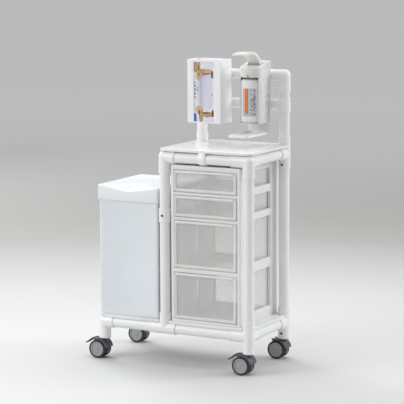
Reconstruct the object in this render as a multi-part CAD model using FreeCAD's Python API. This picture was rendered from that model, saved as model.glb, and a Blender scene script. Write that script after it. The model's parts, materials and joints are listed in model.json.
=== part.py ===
import FreeCAD, Part
import os

# Hygiene and medication cart: a frame of glued plastic pipe on four twin-wheel
# casters, with a waste bin, a tower of four drawers, a tabletop, and a rail
# above it that carries a glove holder and an elbow-lever dispenser.
#
# While it is built, x = 0 and y = 0 are the axis of the front left leg, and
# z = 0 is the floor. The finished model is moved so that its origin is the
# centre of its footprint on the floor. +X is to the user's right, +Y is away
# from the user, +Z is up.

V = FreeCAD.Vector
X, Y, Z = V(1, 0, 0), V(0, 1, 0), V(0, 0, 1)

# Pipe and fittings
PIPE_R = 21.1
PIPE_BORE_R = 17.5
SOCKET_R = 25.0
BRANCH_R = 24.8
JUNCTION_R = 25.4
GLUE_GAP = 0.05
PIPE_STOP = 26.0
LEG_REACH = 67.0

# How far the fittings' sockets reach from their junctions
SHORT_REACH = 51.0
SIDE_REACH = 62.0
LONG_REACH = 73.0
CORNER_REACH = 46.0
BAR_REACH = 65.0
BRACE_TEE = (50.0, 28.0)
BAR_TEE = (61.0, 30.0)

# Frame grid: pipe axes
X_LEFT, X_MID, X_RIGHT = 0.0, 285.0, 659.0
Y_FRONT, Y_REAR = 0.0, 320.0
Z_LOW, Z_BRACE, Z_TOP = 153.0, 612.0, 846.0
Z_BAR_LOW, Z_BAR_HIGH = 1041.0, 1159.0

# Screws in the fittings
SCREW_R, SCREW_LENGTH = 2.0, 8.0
SCREW_HEAD_R, SCREW_HEAD, SCREW_SINK = 5.0, 2.5, 0.6
SCREW_FROM_JUNCTION = 45.0

# Boards
SHEET_GAP = 0.05
BASE_THICK = 12.0
BASE_OVERHANG = 14.0
BASE_CORNER_R = 6.0
BASE_RELIEF_GAP = 0.4
TOP_THICK = 9.0
TOP_CORNER_R = 30.0
TOP_REAR_EDGE = 7.0
TOP_REAR_TAB = 42.0
TOP_TAB_R = 8.0
NOTCH_R = 26.0
SADDLE_X = 447.0
CLIP_WIDTH = 30.0
CLIP_R = 25.0
CLIP_OPEN = 12.0
CLIP_FOOT = 14.0

# Drawer tower
CAB_X0, CAB_X1 = 313.5, 623.5
CAB_Y0, CAB_Y1 = -5.0, 342.0
CAB_TOP = 817.0
CAB_SIDE = 13.0
CAB_CORNER_R = 5.0
CAB_RAILS = ((387.0, 403.0), (597.5, 609.0), (698.0, 709.0))
CAB_BARS = ((390.0, 428.0), (600.0, 627.0), (698.0, 729.0))
CAB_WINDOW_Y = (24.0, 266.0)
CAB_BOTTOM_BAR = 42.0
CAB_TOP_BAR = 22.0
CAB_HEAD = 18.0
CAB_REAR_FRAME = 12.0
PANEL = 10.0

# Drawers, from the top down
DRAWER_NAMES = ("top_drawer", "second_drawer", "third_drawer", "bottom_drawer")
DRAWER_GAP = 1.2
DRAWER_WALL = 2.2
DRAWER_FLOOR = 2.5
DRAWER_CORNER_R = 7.0
DRAWER_PROUD = 1.5
PULL_PROUD, PULL_HEIGHT, PULL_INSET = 9.0, 8.0, 14.0
RUNNER = (12.0, 4.0)
RUNNER_GAP = 0.3

# Waste bin
BIN_X0, BIN_X1 = -16.0, 255.5
BIN_Y0, BIN_Y1 = -10.0, 330.0
BIN_RIM = 686.0
BIN_WALL = 2.5
BIN_FLOOR = 3.0
BIN_CORNER_R = 7.0
LID_BOTTOM, LID_TOP = 657.5, 719.0
LID_SIDE_GAP, LID_FRONT_GAP, LID_REAR_GAP = 0.8, 2.5, 1.5
LID_DIP = 22.0
LID_DIP_DEPTH = 135.0
LID_PIVOT_Y, LID_PIVOT_Z = 341.0, 652.0
LID_PIN_R = 2.5
LID_KNUCKLE_R, LID_KNUCKLE_WIDTH = 5.0, 22.0
LID_EAR_WIDTH, LID_EAR_GAP = 5.0, 0.4
LID_EARS = (30.0, 57.8, 180.0, 207.8)

# Glove holder and its carton: the accessories' backs share one plane
BACK_Y = 294.5
HOLDER_X0, HOLDER_X1 = 281.0, 434.0
HOLDER_Z0, HOLDER_Z1 = 965.0, 1221.0
HOLDER_DEPTH = 97.0
HOLDER_WALL = 2.0
HOLDER_CORNER_R = 3.0
HOLDER_LIP, HOLDER_TOP_LIP, HOLDER_BOTTOM_LIP = 30.0, 10.0, 5.0
HOLDER_CLIP_X, DISP_CLIP_X = 375.0, 545.0
CARTON_GAP = 0.8
CARTON_WALL = 3.5
CARTON_HEADROOM = 6.0
PANEL_HALF, PANEL_REACH, PANEL_DEPTH = 16.0, 45.0, 2.0

# Dispenser
DISP_X = 561.0
PLATE_HALF = 49.0
PLATE_THICK = 6.0
PLATE_Z0, PLATE_Z1 = 931.0, 1219.0
HOOD_HALF = 47.0
HOOD_Y0 = 181.0
HOOD_Z0 = 1157.0
HOOD_FRONT_TOP, HOOD_REAR_TOP = 1191.0, 1217.0
HOOD_WALL = 2.5
HOOD_FRONT_R = 40.0
CHEEK_Y0 = 201.0
SHELF_Z0 = 972.0
BOTTLE_HALF = 43.0
BOTTLE_Y0, BOTTLE_Y1 = 187.0, 285.0
BOTTLE_Z0, BOTTLE_Z1 = 975.0, 1150.0
BOTTLE_CORNER_R = 34.0
BOTTLE_WALL = 1.8
NECK_R, NECK_LENGTH = 12.0, 12.0
TRAY_Y0 = 97.0
TRAY_Z0, TRAY_Z1 = 925.0, 934.0
TRAY_HALF, TRAY_CORNER_R, TRAY_WALL = 45.0, 14.0, 2.0

# Pump
PUMP_Y = 232.0
PUMP_TOP = 1172.0
COLLAR_R = 15.0
BARREL_LENGTH, BARREL_R = 60.0, 7.0
TUBE_R, TUBE_CLEAR = 2.5, 12.0
SPOUT_Z, SPOUT_Y, SPOUT_R = 1165.0, 170.0, 3.5
DROP_R, DROP_LENGTH, DROP_INSET = 3.2, 8.0, 4.1
SPOUT_HOLE_R = 5.0
PLUNGER_R, PLUNGER_BORE, PLUNGER_ENGAGED = 3.0, 24.0, 14.0
PLUNGER_STROKE_GAP, PLUNGER_CAP, PLUNGER_CAP_R = 7.5, 4.0, 10.0

# Elbow lever: upper and lower (y, z) outlines from the tip to the pivot
LEVER_HALF = 27.0
LEVER_PIVOT_Y, LEVER_PIVOT_Z = 262.0, 1199.0
LEVER_PIN_R, LEVER_PIN_LENGTH = 3.0, 93.0
LEVER_BARREL_R = 7.0
LEVER_SLOT_Y, LEVER_SLOT_GAP = (234.0, 274.0), 2.0
LEVER_TOP = ((102.0, 1249.0), (102.0, 1254.5), (140.0, 1258.5), (172.0, 1260.5),
             (195.0, 1258.5), (213.0, 1252.0), (230.0, 1241.0), (245.0, 1228.0),
             (257.0, 1213.0), (264.0, 1205.0), (269.0, 1199.0))
LEVER_UNDER = ((120.0, 1248.0), (160.0, 1250.5), (185.0, 1249.0), (203.0, 1242.5),
               (220.0, 1231.0), (234.0, 1218.0), (244.0, 1204.0), (256.0, 1199.0))
LEVER_FINGER = ((264.0, 1202.0), (232.0, 1190.3), (229.3, 1187.5), (232.0, 1184.7), (262.0, 1193.0))
FINGER_HALF = 14.0
LEVER_PAD_R, LEVER_PAD_Z = 3.0, 1187.5

# Casters
WHEEL_R = 37.5
WHEEL_INNER, WHEEL_OUTER = 9.5, 28.0
TREAD_DEPTH, TREAD_SHOULDER_R = 7.5, 3.0
HUB_SUNK, HUB_FACE, HUB_RIM = 1.5, 4.0, 6.0
TRAIL = 25.0
AXLE_R = 5.0
RUNNING_FIT = 0.05
PLUG_LENGTH, FLANGE, STEM_R, STEM_END = 34.0, 2.5, 5.5, 62.0
FORK_HALF = 8.5
FORK_TOP = 82.0
FORK_HOOD_R, FORK_HOOD_CLEAR_R, FORK_HOOD_HALF = 48.0, 39.5, 26.0
FORK_HOOD_X, FORK_HOOD_Z0 = (-38.0, 30.0), 46.0
FORK_CORE_X, FORK_CORE_Z0 = (-50.0, 30.0), 20.0
FORK_NECK_X, FORK_NECK_Z0 = (-10.0, 12.0), 60.0
FORK_SIDE = 40.0
LUG_Y, LUG_THICK, LUG_END = (-17.0, 13.0), 4.0, -36.0
BRAKE_PIVOT_X, BRAKE_PIVOT_Z = -43.0, 79.5
BRAKE_TIP_X, BRAKE_TIP_Z = -88.0, 56.0
BRAKE_HALF, BRAKE_BARREL_R, BRAKE_PIN_R, BRAKE_PIN_HALF = 12.5, 3.5, 1.5, 17.0

LEGS = {
    "front_left": (X_LEFT, Y_FRONT),
    "front_right": (X_RIGHT, Y_FRONT),
    "rear_left": (X_LEFT, Y_REAR),
    "rear_right": (X_RIGHT, Y_REAR),
}
BRAKED = ("front_left", "front_right")

# Places worked out from the dimensions above
BASE_Z0 = Z_LOW + PIPE_R + SHEET_GAP
BASE_Z1 = BASE_Z0 + BASE_THICK
TOP_Z0 = Z_TOP + JUNCTION_R + SHEET_GAP
TOP_Z1 = TOP_Z0 + TOP_THICK
LEG_BOTTOM = Z_LOW - LEG_REACH
CAB_Z0 = BASE_Z1 + SHEET_GAP
HOUSING_Y1 = BACK_Y - PLATE_THICK - SHEET_GAP

nodes = {}


# Basic shapes

def block(low, high):
    """Box between its lowest and highest corners."""
    size = [b - a for a, b in zip(low, high)]
    return Part.makeBox(*size, V(*low))


def rod(start, direction, length, radius):
    """Cylinder from a start point along a direction."""
    return Part.makeCylinder(radius, length, V(*start), direction)


def round_block(low, high, radius):
    """Box whose four upright edges are rounded."""
    solid = block(low, high)
    upright = []
    for edge in solid.Edges:
        ends = [v.Point for v in edge.Vertexes]
        if abs(ends[0].z - ends[1].z) > 1e-6:
            upright.append(edge)
    return solid.makeFillet(radius, upright)


def extrude_side(points, x0, x1):
    """Extrude a closed outline of (y, z) points from x0 to x1."""
    corners = [V(x0, y, z) for y, z in points]
    face = Part.Face(Part.makePolygon(corners + corners[:1]))
    return face.extrude(V(x1 - x0, 0, 0))


def extrude_front(points, y0, y1):
    """Extrude a closed outline of (x, z) points from y0 to y1."""
    corners = [V(x, y0, z) for x, z in points]
    face = Part.Face(Part.makePolygon(corners + corners[:1]))
    return face.extrude(V(0, y1 - y0, 0))


def joined(shapes):
    """Fuse shapes that touch into one solid."""
    body = shapes[0].fuse(shapes[1:])
    return body.removeSplitter()


def group(shapes):
    """Separate solids that share one node."""
    solids = []
    for shape in shapes:
        solids.extend(shape.Solids)
    return Part.makeCompound(solids)


# Frame

def pipe(start, end):
    """Length of pipe between two junctions, cut back to the fittings' stops."""
    run = V(*end) - V(*start)
    length = run.Length - 2 * PIPE_STOP
    direction = run.normalize()
    first = V(*start) + direction * PIPE_STOP
    outer = rod(first, direction, length, PIPE_R)
    return outer.cut(rod(first, direction, length, PIPE_BORE_R))


def pipe_line(*junctions):
    """Pipes between each junction and the next."""
    return group([pipe(a, b) for a, b in zip(junctions, junctions[1:])])


def fitting(centre, arms):
    """Moulded fitting: a rounded junction with a socket along each arm."""
    centre = V(*centre)
    outer = [Part.makeSphere(JUNCTION_R, centre)]
    inner = [Part.makeSphere(PIPE_BORE_R - 0.5, centre)]
    for direction, reach in arms:
        outer.append(rod(centre, direction, reach, SOCKET_R))
        inner.append(rod(centre, direction, PIPE_STOP, PIPE_BORE_R))
        seat = centre + direction * PIPE_STOP
        inner.append(rod(seat, direction, reach, PIPE_R + GLUE_GAP))
    return joined(outer).cut(joined(inner))


def slip_tee(centre, direction, reach, half):
    """Tee that slides over an upright, with one socket to the side."""
    centre = V(*centre)
    outer = joined([rod(centre - Z * half, Z, 2 * half, SOCKET_R),
                    rod(centre, direction, reach, BRANCH_R)])
    outer = outer.cut(rod(centre - Z * (half + 1), Z, 2 * half + 2, PIPE_R + GLUE_GAP))
    return outer.cut(rod(centre + direction * PIPE_STOP, direction, reach, PIPE_R + GLUE_GAP))


def frame_pipes():
    """Posts, rails and crossbars, each cut to length between fittings."""
    low_front = [(x, Y_FRONT, Z_LOW) for x in (X_LEFT, X_MID, X_RIGHT)]
    low_rear = [(x, Y_REAR, Z_LOW) for x in (X_LEFT, X_MID, X_RIGHT)]
    nodes["front_right_post"] = pipe_line(low_front[2], (X_RIGHT, Y_FRONT, Z_TOP))
    nodes["front_middle_post"] = pipe_line(low_front[1], (X_MID, Y_FRONT, Z_TOP))
    for name, x in (("rear_middle_upright", X_MID), ("rear_right_upright", X_RIGHT)):
        nodes[name] = pipe_line(*[(x, Y_REAR, z) for z in (Z_LOW, Z_TOP, Z_BAR_HIGH)])
    nodes["lower_front_rails"] = pipe_line(*low_front)
    nodes["lower_rear_rails"] = pipe_line(*low_rear)
    nodes["lower_side_rails"] = group([pipe(a, b) for a, b in zip(low_front, low_rear)])
    for name, y in (("top_front_rail", Y_FRONT), ("top_rear_rail", Y_REAR)):
        nodes[name] = pipe((X_MID, y, Z_TOP), (X_RIGHT, y, Z_TOP))
    nodes["top_side_rails"] = group(
        [pipe((x, Y_FRONT, Z_TOP), (x, Y_REAR, Z_TOP)) for x in (X_MID, X_RIGHT)])
    nodes["brace_rail"] = pipe((X_MID, Y_FRONT, Z_BRACE), (X_MID, Y_REAR, Z_BRACE))
    for name, z in (("lower_crossbar", Z_BAR_LOW), ("upper_crossbar", Z_BAR_HIGH)):
        nodes[name] = pipe((X_MID, Y_REAR, z), (X_RIGHT, Y_REAR, z))


def frame_fittings():
    """Corner, tee and elbow fittings where the pipes meet."""
    up, down, right, left, back, forward = Z, -Z, X, -X, Y, -Y
    corners = []
    tees = []
    tops = []
    small = []
    for y, inward in ((Y_FRONT, back), (Y_REAR, forward)):
        side = (inward, SIDE_REACH)
        leg = (down, LEG_REACH)
        corners.append(fitting((X_LEFT, y, Z_LOW), ((right, CORNER_REACH), side, leg)))
        corners.append(fitting((X_RIGHT, y, Z_LOW),
                               ((left, LONG_REACH), side, (up, SIDE_REACH), leg)))
        tees.append(fitting((X_MID, y, Z_LOW),
                            ((left, LONG_REACH), (right, SHORT_REACH), side, (up, SIDE_REACH))))
        above = ((up, BAR_REACH),) if y == Y_REAR else ()
        for x, along in ((X_MID, (right, SHORT_REACH)), (X_RIGHT, (left, LONG_REACH))):
            tops.append(fitting((x, y, Z_TOP), (along, side, (down, SIDE_REACH)) + above))
        small.append(slip_tee((X_MID, y, Z_BRACE), inward, *BRACE_TEE))
    elbows = []
    for x, inward in ((X_MID, right), (X_RIGHT, left)):
        small.append(slip_tee((x, Y_REAR, Z_BAR_LOW), inward, *BAR_TEE))
        elbows.append(fitting((x, Y_REAR, Z_BAR_HIGH), ((inward, BAR_REACH), (down, BAR_REACH))))
    nodes["lower_corner_fittings"] = group(corners)
    nodes["lower_tee_fittings"] = group(tees)
    nodes["top_corner_fittings"] = group(tops)
    nodes["small_tee_fittings"] = group(small)
    nodes["elbow_fittings"] = group(elbows)


def screws():
    """Screws that lock the fittings to their pipes, heads towards the user."""
    tips = [(X_MID, Y_FRONT, Z_BRACE)]
    for x in (X_MID, X_RIGHT):
        tips.append((x, Y_REAR, Z_TOP - SCREW_FROM_JUNCTION))
    for x in (X_LEFT, X_RIGHT):
        tips.append((x, Y_REAR, Z_LOW - SCREW_FROM_JUNCTION))
    made = []
    for x, y, z in tips:
        seat = y - SOCKET_R + SCREW_SINK
        shank = rod((x, seat, z), Y, SCREW_LENGTH, SCREW_R)
        pan = rod((x, seat - SCREW_HEAD, z), Y, SCREW_HEAD, SCREW_HEAD_R)
        rim = [e for e in pan.Edges if abs(e.BoundBox.YMax - seat + SCREW_HEAD) < 1e-6]
        made.append(joined([shank, pan.makeChamfer(SCREW_HEAD * 0.4, rim[:1])]))
    return made


def frame_screws():
    """Lay the screws in the fittings and pipes that they pass through."""
    made = screws()
    for name in ("top_corner_fittings", "small_tee_fittings", "lower_corner_fittings",
                 "front_middle_post", "rear_middle_upright", "rear_right_upright"):
        nodes[name] = group([nodes[name].cut(made)])
    nodes["frame_screws"] = group(made)


# Boards

def tabletop():
    """Tabletop with rounded front corners, notched around the rear uprights."""
    x0, x1 = X_MID - PIPE_R, X_RIGHT + PIPE_R
    y0 = Y_FRONT - PIPE_R
    plate = round_block((x0, y0, TOP_Z0), (x1, Y_REAR + TOP_CORNER_R, TOP_Z1), TOP_CORNER_R)
    plate = plate.common(block((x0, y0, TOP_Z0), (x1, Y_REAR + TOP_REAR_EDGE, TOP_Z1)))
    tab = round_block((X_MID + NOTCH_R, Y_REAR / 2, TOP_Z0),
                      (X_RIGHT - NOTCH_R, Y_REAR + TOP_REAR_TAB, TOP_Z1), TOP_TAB_R)
    plate = joined([plate, tab])
    for x in (X_MID, X_RIGHT):
        plate = plate.cut(rod((x, Y_REAR, TOP_Z0 - 1), Z, TOP_THICK + 2, NOTCH_R))
    nodes["tabletop"] = plate.Solids[0]


def tabletop_clips():
    """Saddle clips that hold the tabletop down on the front and rear rails."""
    made = []
    x0, x1 = SADDLE_X, SADDLE_X + CLIP_WIDTH
    for y in (Y_FRONT, Y_REAR):
        saddle = rod((x0, y, Z_TOP), X, CLIP_WIDTH, CLIP_R)
        ears = block((x0, y - PIPE_R, Z_TOP), (x1, y + CLIP_R, TOP_Z0))
        clip = joined([saddle, ears])
        clip = clip.common(block((x0, y - CLIP_R, Z_TOP - CLIP_R), (x1, y + CLIP_R, TOP_Z0)))
        made.append(clip.cut(rod((x0 - 1, y, Z_TOP), X, CLIP_WIDTH + 2, PIPE_R + GLUE_GAP)))
    nodes["tabletop_clips"] = group(made)


def base_board():
    """Board on the lower rails, cut away around the fittings that stand proud of them."""
    over = BASE_OVERHANG
    board = round_block((X_LEFT - over, Y_FRONT - over, BASE_Z0),
                        (X_RIGHT + over, Y_REAR + over, BASE_Z1), BASE_CORNER_R)
    clear = JUNCTION_R + BASE_RELIEF_GAP
    past = clear + 5.0
    arms = ((X_LEFT, X, CORNER_REACH), (X_MID, -X, LONG_REACH), (X_MID, X, SHORT_REACH),
            (X_RIGHT, -X, LONG_REACH))
    for y, inward in ((Y_FRONT, Y), (Y_REAR, -Y)):
        for x, direction, reach in arms:
            board = board.cut(rod(V(x, y, Z_LOW) - direction * past, direction,
                                  reach + past + 1, clear))
        for x in (X_LEFT, X_MID, X_RIGHT):
            board = board.cut(rod(V(x, y, Z_LOW) - inward * past, inward,
                                  SIDE_REACH + past + 1, clear))
        for x in (X_MID, X_RIGHT):
            board = board.cut(rod((x, y, Z_LOW), Z, SIDE_REACH, clear))
    nodes["base_board"] = max(board.Solids, key=lambda solid: solid.Volume)


# Drawer tower

def bay_levels():
    """Heights of the openings between the tower's front rails, from the bottom up."""
    levels = [CAB_Z0 + PANEL] + [z for rail in CAB_RAILS for z in rail] + [CAB_TOP - CAB_HEAD]
    return list(zip(levels[::2], levels[1::2]))


def cabinet():
    """Open frame of the drawer tower: windowed sides, front rails, top and bottom."""
    body = round_block((CAB_X0, CAB_Y0, CAB_Z0), (CAB_X1, CAB_Y1, CAB_TOP), CAB_CORNER_R)
    inner0, inner1 = CAB_X0 + CAB_SIDE, CAB_X1 - CAB_SIDE
    body = body.cut(block((inner0, CAB_Y0 + PANEL, CAB_Z0 + PANEL),
                          (inner1, CAB_Y1 - PANEL, CAB_TOP - PANEL)))
    rim = CAB_REAR_FRAME
    for low, high in bay_levels():
        body = body.cut(block((inner0, CAB_Y0 - 1, low), (inner1, CAB_Y0 + PANEL + 1, high)))
        body = body.cut(block((inner0 + rim, CAB_Y1 - PANEL - 1, low + rim),
                              (inner1 - rim, CAB_Y1 + 1, high - rim)))
    sills = [CAB_Z0 + CAB_BOTTOM_BAR] + [z for bar in CAB_BARS for z in bar]
    sills.append(CAB_TOP - CAB_TOP_BAR)
    for low, high in zip(sills[::2], sills[1::2]):
        body = body.cut(block((CAB_X0 - 1, CAB_WINDOW_Y[0], low),
                              (CAB_X1 + 1, CAB_WINDOW_Y[1], high)))
    nodes["cabinet"] = body.Solids[0]


def drawer_bays():
    """Lowest and highest z of each drawer, from the top drawer down."""
    return [(low + DRAWER_GAP, high - DRAWER_GAP) for low, high in reversed(bay_levels())]


def drawer_runners():
    """Ledges on both sides of the tower that the upper three drawers slide on."""
    inner0, inner1 = CAB_X0 + CAB_SIDE, CAB_X1 - CAB_SIDE
    width, thick = RUNNER
    made = []
    for low, high in drawer_bays()[:-1]:
        top = low - RUNNER_GAP
        for x0 in (inner0, inner1 - width):
            made.append(block((x0, CAB_Y0 + PANEL, top - thick),
                              (x0 + width, CAB_Y1 - PANEL, top)))
    nodes["drawer_runners"] = group(made)


def drawer(low, high):
    """Open-topped drawer tub with a pull lip along the top of its front."""
    side = CAB_SIDE + DRAWER_GAP
    x0, x1 = CAB_X0 + side, CAB_X1 - side
    y0, y1 = CAB_Y0 - DRAWER_PROUD, CAB_Y1 - PANEL - DRAWER_GAP
    wall = DRAWER_WALL
    tub = round_block((x0, y0, low), (x1, y1, high), DRAWER_CORNER_R)
    hollow = round_block((x0 + wall, y0 + wall, low + DRAWER_FLOOR),
                         (x1 - wall, y1 - wall, high + 1), DRAWER_CORNER_R - wall)
    lip = block((x0 + PULL_INSET, y0 - PULL_PROUD, high - PULL_HEIGHT),
                (x1 - PULL_INSET, y0 + wall, high))
    return joined([tub, lip]).cut(hollow)


def drawers():
    """The four drawers, each in its bay."""
    for name, (low, high) in zip(DRAWER_NAMES, drawer_bays()):
        nodes[name] = drawer(low, high)


# Waste bin

def lid_pin_bore(x, length, extra=0.0):
    """Rod along the lid's hinge axis."""
    return rod((x, LID_PIVOT_Y, LID_PIVOT_Z), X, length, LID_PIN_R + extra)


def hinge_ear(x):
    """Ear behind the bin's rim that holds one end of a hinge pin."""
    y, z = LID_PIVOT_Y, LID_PIVOT_Z
    root = BIN_Y1 - 1
    reach = LID_KNUCKLE_R - 1
    outline = ((root, z - 22), (root, z + reach), (y, z + reach), (y + reach, z), (y + reach, z - 6))
    return extrude_side(outline, x, x + LID_EAR_WIDTH)


def bin_body():
    """Tall bin with hinge ears behind its rim."""
    z0 = BASE_Z1 + SHEET_GAP
    wall = BIN_WALL
    shell = round_block((BIN_X0, BIN_Y0, z0), (BIN_X1, BIN_Y1, BIN_RIM), BIN_CORNER_R)
    hollow = round_block((BIN_X0 + wall, BIN_Y0 + wall, z0 + BIN_FLOOR),
                         (BIN_X1 - wall, BIN_Y1 - wall, BIN_RIM + 1), BIN_CORNER_R - wall)
    body = joined([shell] + [hinge_ear(x) for x in LID_EARS]).cut(hollow)
    for x in LID_EARS:
        body = body.cut(lid_pin_bore(x - 1, LID_EAR_WIDTH + 2))
    nodes["bin_body"] = body


def lid_pins():
    """Pins through the ears and the lid's knuckles."""
    length = 2 * (LID_EAR_WIDTH + LID_EAR_GAP) + LID_KNUCKLE_WIDTH
    nodes["lid_pins"] = group([lid_pin_bore(x, length) for x in LID_EARS[::2]])


def lid_knuckle(x, skirt_y):
    """Barrel round a hinge pin, with the web that joins it to the lid's rear skirt."""
    start = x + LID_EAR_WIDTH + LID_EAR_GAP
    barrel = rod((start, LID_PIVOT_Y, LID_PIVOT_Z), X, LID_KNUCKLE_WIDTH, LID_KNUCKLE_R)
    web = block((start, skirt_y, LID_PIVOT_Z),
                (start + LID_KNUCKLE_WIDTH, LID_PIVOT_Y + LID_KNUCKLE_R, LID_BOTTOM + 12))
    return joined([barrel, web])


def bin_lid():
    """Lid with a deep skirt; its front edge dips in the middle for the fingers."""
    wall = BIN_WALL
    side, front, rear = (gap + wall for gap in (LID_SIDE_GAP, LID_FRONT_GAP, LID_REAR_GAP))
    x0, x1 = BIN_X0 - side, BIN_X1 + side
    y0, y1 = BIN_Y0 - front, BIN_Y1 + rear
    outer = round_block((x0, y0, LID_BOTTOM), (x1, y1, LID_TOP), BIN_CORNER_R)
    inner = round_block((x0 + wall, y0 + wall, LID_BOTTOM - 1),
                        (x1 - wall, y1 - wall, LID_TOP - wall), BIN_CORNER_R - wall)
    outer = outer.cut(lid_dip(x0, x1, y0, 0))
    inner = inner.cut(lid_dip(x0, x1, y0, wall * 1.2))
    knuckles = [lid_knuckle(x, y1 - wall * 0.6) for x in LID_EARS[::2]]
    body = joined([outer.cut(inner)] + knuckles)
    return body.cut(lid_pin_bore(x0, x1 - x0, RUNNING_FIT))


def lid_dip(x0, x1, y0, lower):
    """Shallow scoop whose lowest point is the middle of the lid's front edge."""
    top = LID_TOP - lower
    middle = (x0 + x1) / 2
    left, right = V(x0 - 1, y0 - 1, top), V(x1 + 1, y0 - 1, top)
    deep = V(middle, y0 - 1, top - LID_DIP)
    back = V(middle, y0 + LID_DIP_DEPTH, top)
    above_left, above_right, above_back = (p + V(0, 0, 2 * LID_DIP) for p in (left, right, back))
    loops = ((left, deep, back), (deep, right, back), (left, back, above_back, above_left),
             (back, right, above_right, above_back),
             (left, above_left, above_right, right, deep), (above_left, above_back, above_right))
    faces = [Part.Face(Part.makePolygon(loop + loop[:1])) for loop in loops]
    return Part.Solid(Part.Shell(faces))


# Accessories on the crossbars

def bar_clips():
    """Spring clips behind each accessory that snap onto the crossbars."""
    made = []
    for x in (HOLDER_CLIP_X, DISP_CLIP_X):
        for z in (Z_BAR_LOW, Z_BAR_HIGH):
            x1 = x + CLIP_WIDTH
            ring = rod((x, Y_REAR, z), X, CLIP_WIDTH, CLIP_R)
            foot = block((x, BACK_Y, z - CLIP_FOOT), (x1, Y_REAR, z + CLIP_FOOT))
            clip = joined([ring, foot])
            clip = clip.common(block((x, BACK_Y, z - CLIP_R), (x1, Y_REAR + CLIP_OPEN, z + CLIP_R)))
            made.append(clip.cut(rod((x - 1, Y_REAR, z), X, CLIP_WIDTH + 2, PIPE_R + GLUE_GAP)))
    nodes["bar_clips"] = group(made)


def glove_holder():
    """Open-topped box that shows its carton between its front lips."""
    wall = HOLDER_WALL
    y0 = BACK_Y - HOLDER_DEPTH
    body = round_block((HOLDER_X0, y0, HOLDER_Z0), (HOLDER_X1, BACK_Y, HOLDER_Z1), HOLDER_CORNER_R)
    body = body.cut(block((HOLDER_X0 + wall, y0 + wall, HOLDER_Z0 + wall),
                          (HOLDER_X1 - wall, BACK_Y - wall, HOLDER_Z1 + 1)))
    opening = block((HOLDER_X0 + HOLDER_LIP, y0 - 1, HOLDER_Z0 + HOLDER_BOTTOM_LIP),
                    (HOLDER_X1 - HOLDER_LIP, y0 + wall + 1, HOLDER_Z1 - HOLDER_TOP_LIP))
    nodes["glove_holder"] = body.cut(opening)


def glove_carton():
    """Closed carton of gloves with an oval tear-out panel let into its front."""
    gap = HOLDER_WALL + CARTON_GAP
    board = CARTON_WALL
    x0, x1 = HOLDER_X0 + gap, HOLDER_X1 - gap
    y0, y1 = BACK_Y - HOLDER_DEPTH + gap, BACK_Y - gap
    z0, z1 = HOLDER_Z0 + HOLDER_WALL + SHEET_GAP, HOLDER_Z1 - CARTON_HEADROOM
    inside = block((x0 + board, y0 + board, z0 + board), (x1 - board, y1 - board, z1 - board))
    middle, centre_z = (HOLDER_X0 + HOLDER_X1) / 2, (HOLDER_Z0 + HOLDER_Z1) / 2
    ends = [rod((middle, y0 - 1, centre_z + side * PANEL_REACH), Y, PANEL_DEPTH + 1, PANEL_HALF)
            for side in (-1, 1)]
    between = block((middle - PANEL_HALF, y0 - 1, centre_z - PANEL_REACH),
                    (middle + PANEL_HALF, y0 + PANEL_DEPTH, centre_z + PANEL_REACH))
    carton = block((x0, y0, z0), (x1, y1, z1)).cut(joined(ends + [between]))
    nodes["glove_carton"] = carton.cut(inside)


def dispenser_plate():
    """Back plate that the dispenser hangs on."""
    nodes["dispenser_plate"] = round_block((DISP_X - PLATE_HALF, BACK_Y - PLATE_THICK, PLATE_Z0),
                                           (DISP_X + PLATE_HALF, BACK_Y, PLATE_Z1), 2.0)


def rounded_front(half, y0, y1, z0, z1, corner_r):
    """Upright body with a rounded front and a square back."""
    solid = block((DISP_X - half, y0, z0), (DISP_X + half, y1, z1))
    front = []
    for edge in solid.Edges:
        ends = [v.Point for v in edge.Vertexes]
        if abs(ends[0].z - ends[1].z) > 1 and ends[0].y < y0 + 1:
            front.append(edge)
    return solid.makeFillet(corner_r, front)


def housing_wall(z0, z1):
    """Wall of the housing, rounded at the front and closed at the back."""
    wall = HOOD_WALL
    outer = rounded_front(HOOD_HALF, HOOD_Y0, HOUSING_Y1, z0, z1, HOOD_FRONT_R)
    inner = rounded_front(HOOD_HALF - wall, HOOD_Y0 + wall, HOUSING_Y1 - wall, z0 - 1, z1 + 1,
                          HOOD_FRONT_R - wall)
    return outer, inner


def dispenser_hood():
    """Hood over the pump with a sloping top; its cheeks and shelf hold the bottle."""
    wall = HOOD_WALL
    top = HOOD_REAR_TOP + 5
    outer, inner = housing_wall(HOOD_Z0, top)
    front, rear = HOOD_Y0 - 1, HOUSING_Y1 + 1
    slope = extrude_side(((front, HOOD_FRONT_TOP), (rear, HOOD_REAR_TOP), (rear, 2 * top),
                          (front, 2 * top)), DISP_X - PLATE_HALF, DISP_X + PLATE_HALF)
    roof = slope.copy()
    roof.translate(V(0, 0, -wall))
    shell = outer.cut(slope).cut(inner.cut(roof))
    low_outer, low_inner = housing_wall(SHELF_Z0, HOOD_Z0 + 1)
    cheeks = low_outer.cut(low_inner)
    floor = low_outer.common(block((DISP_X - HOOD_HALF, HOOD_Y0, SHELF_Z0),
                                   (DISP_X + HOOD_HALF, HOUSING_Y1, SHELF_Z0 + wall)))
    cheeks = cheeks.common(block((DISP_X - HOOD_HALF, CHEEK_Y0, SHELF_Z0),
                                 (DISP_X + HOOD_HALF, HOUSING_Y1, HOOD_Z0 + 1)))
    body = joined([shell, cheeks, floor])
    slot = LEVER_HALF + LEVER_SLOT_GAP
    body = body.cut(block((DISP_X - slot, LEVER_SLOT_Y[0], HOOD_FRONT_TOP - 6),
                          (DISP_X + slot, LEVER_SLOT_Y[1], top)))
    body = body.cut(rod((DISP_X, HOOD_Y0 - 1, SPOUT_Z), Y, 12, SPOUT_HOLE_R))
    nodes["dispenser_hood"] = body.cut(lever_pin(LEVER_PIN_LENGTH + 1))


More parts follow.
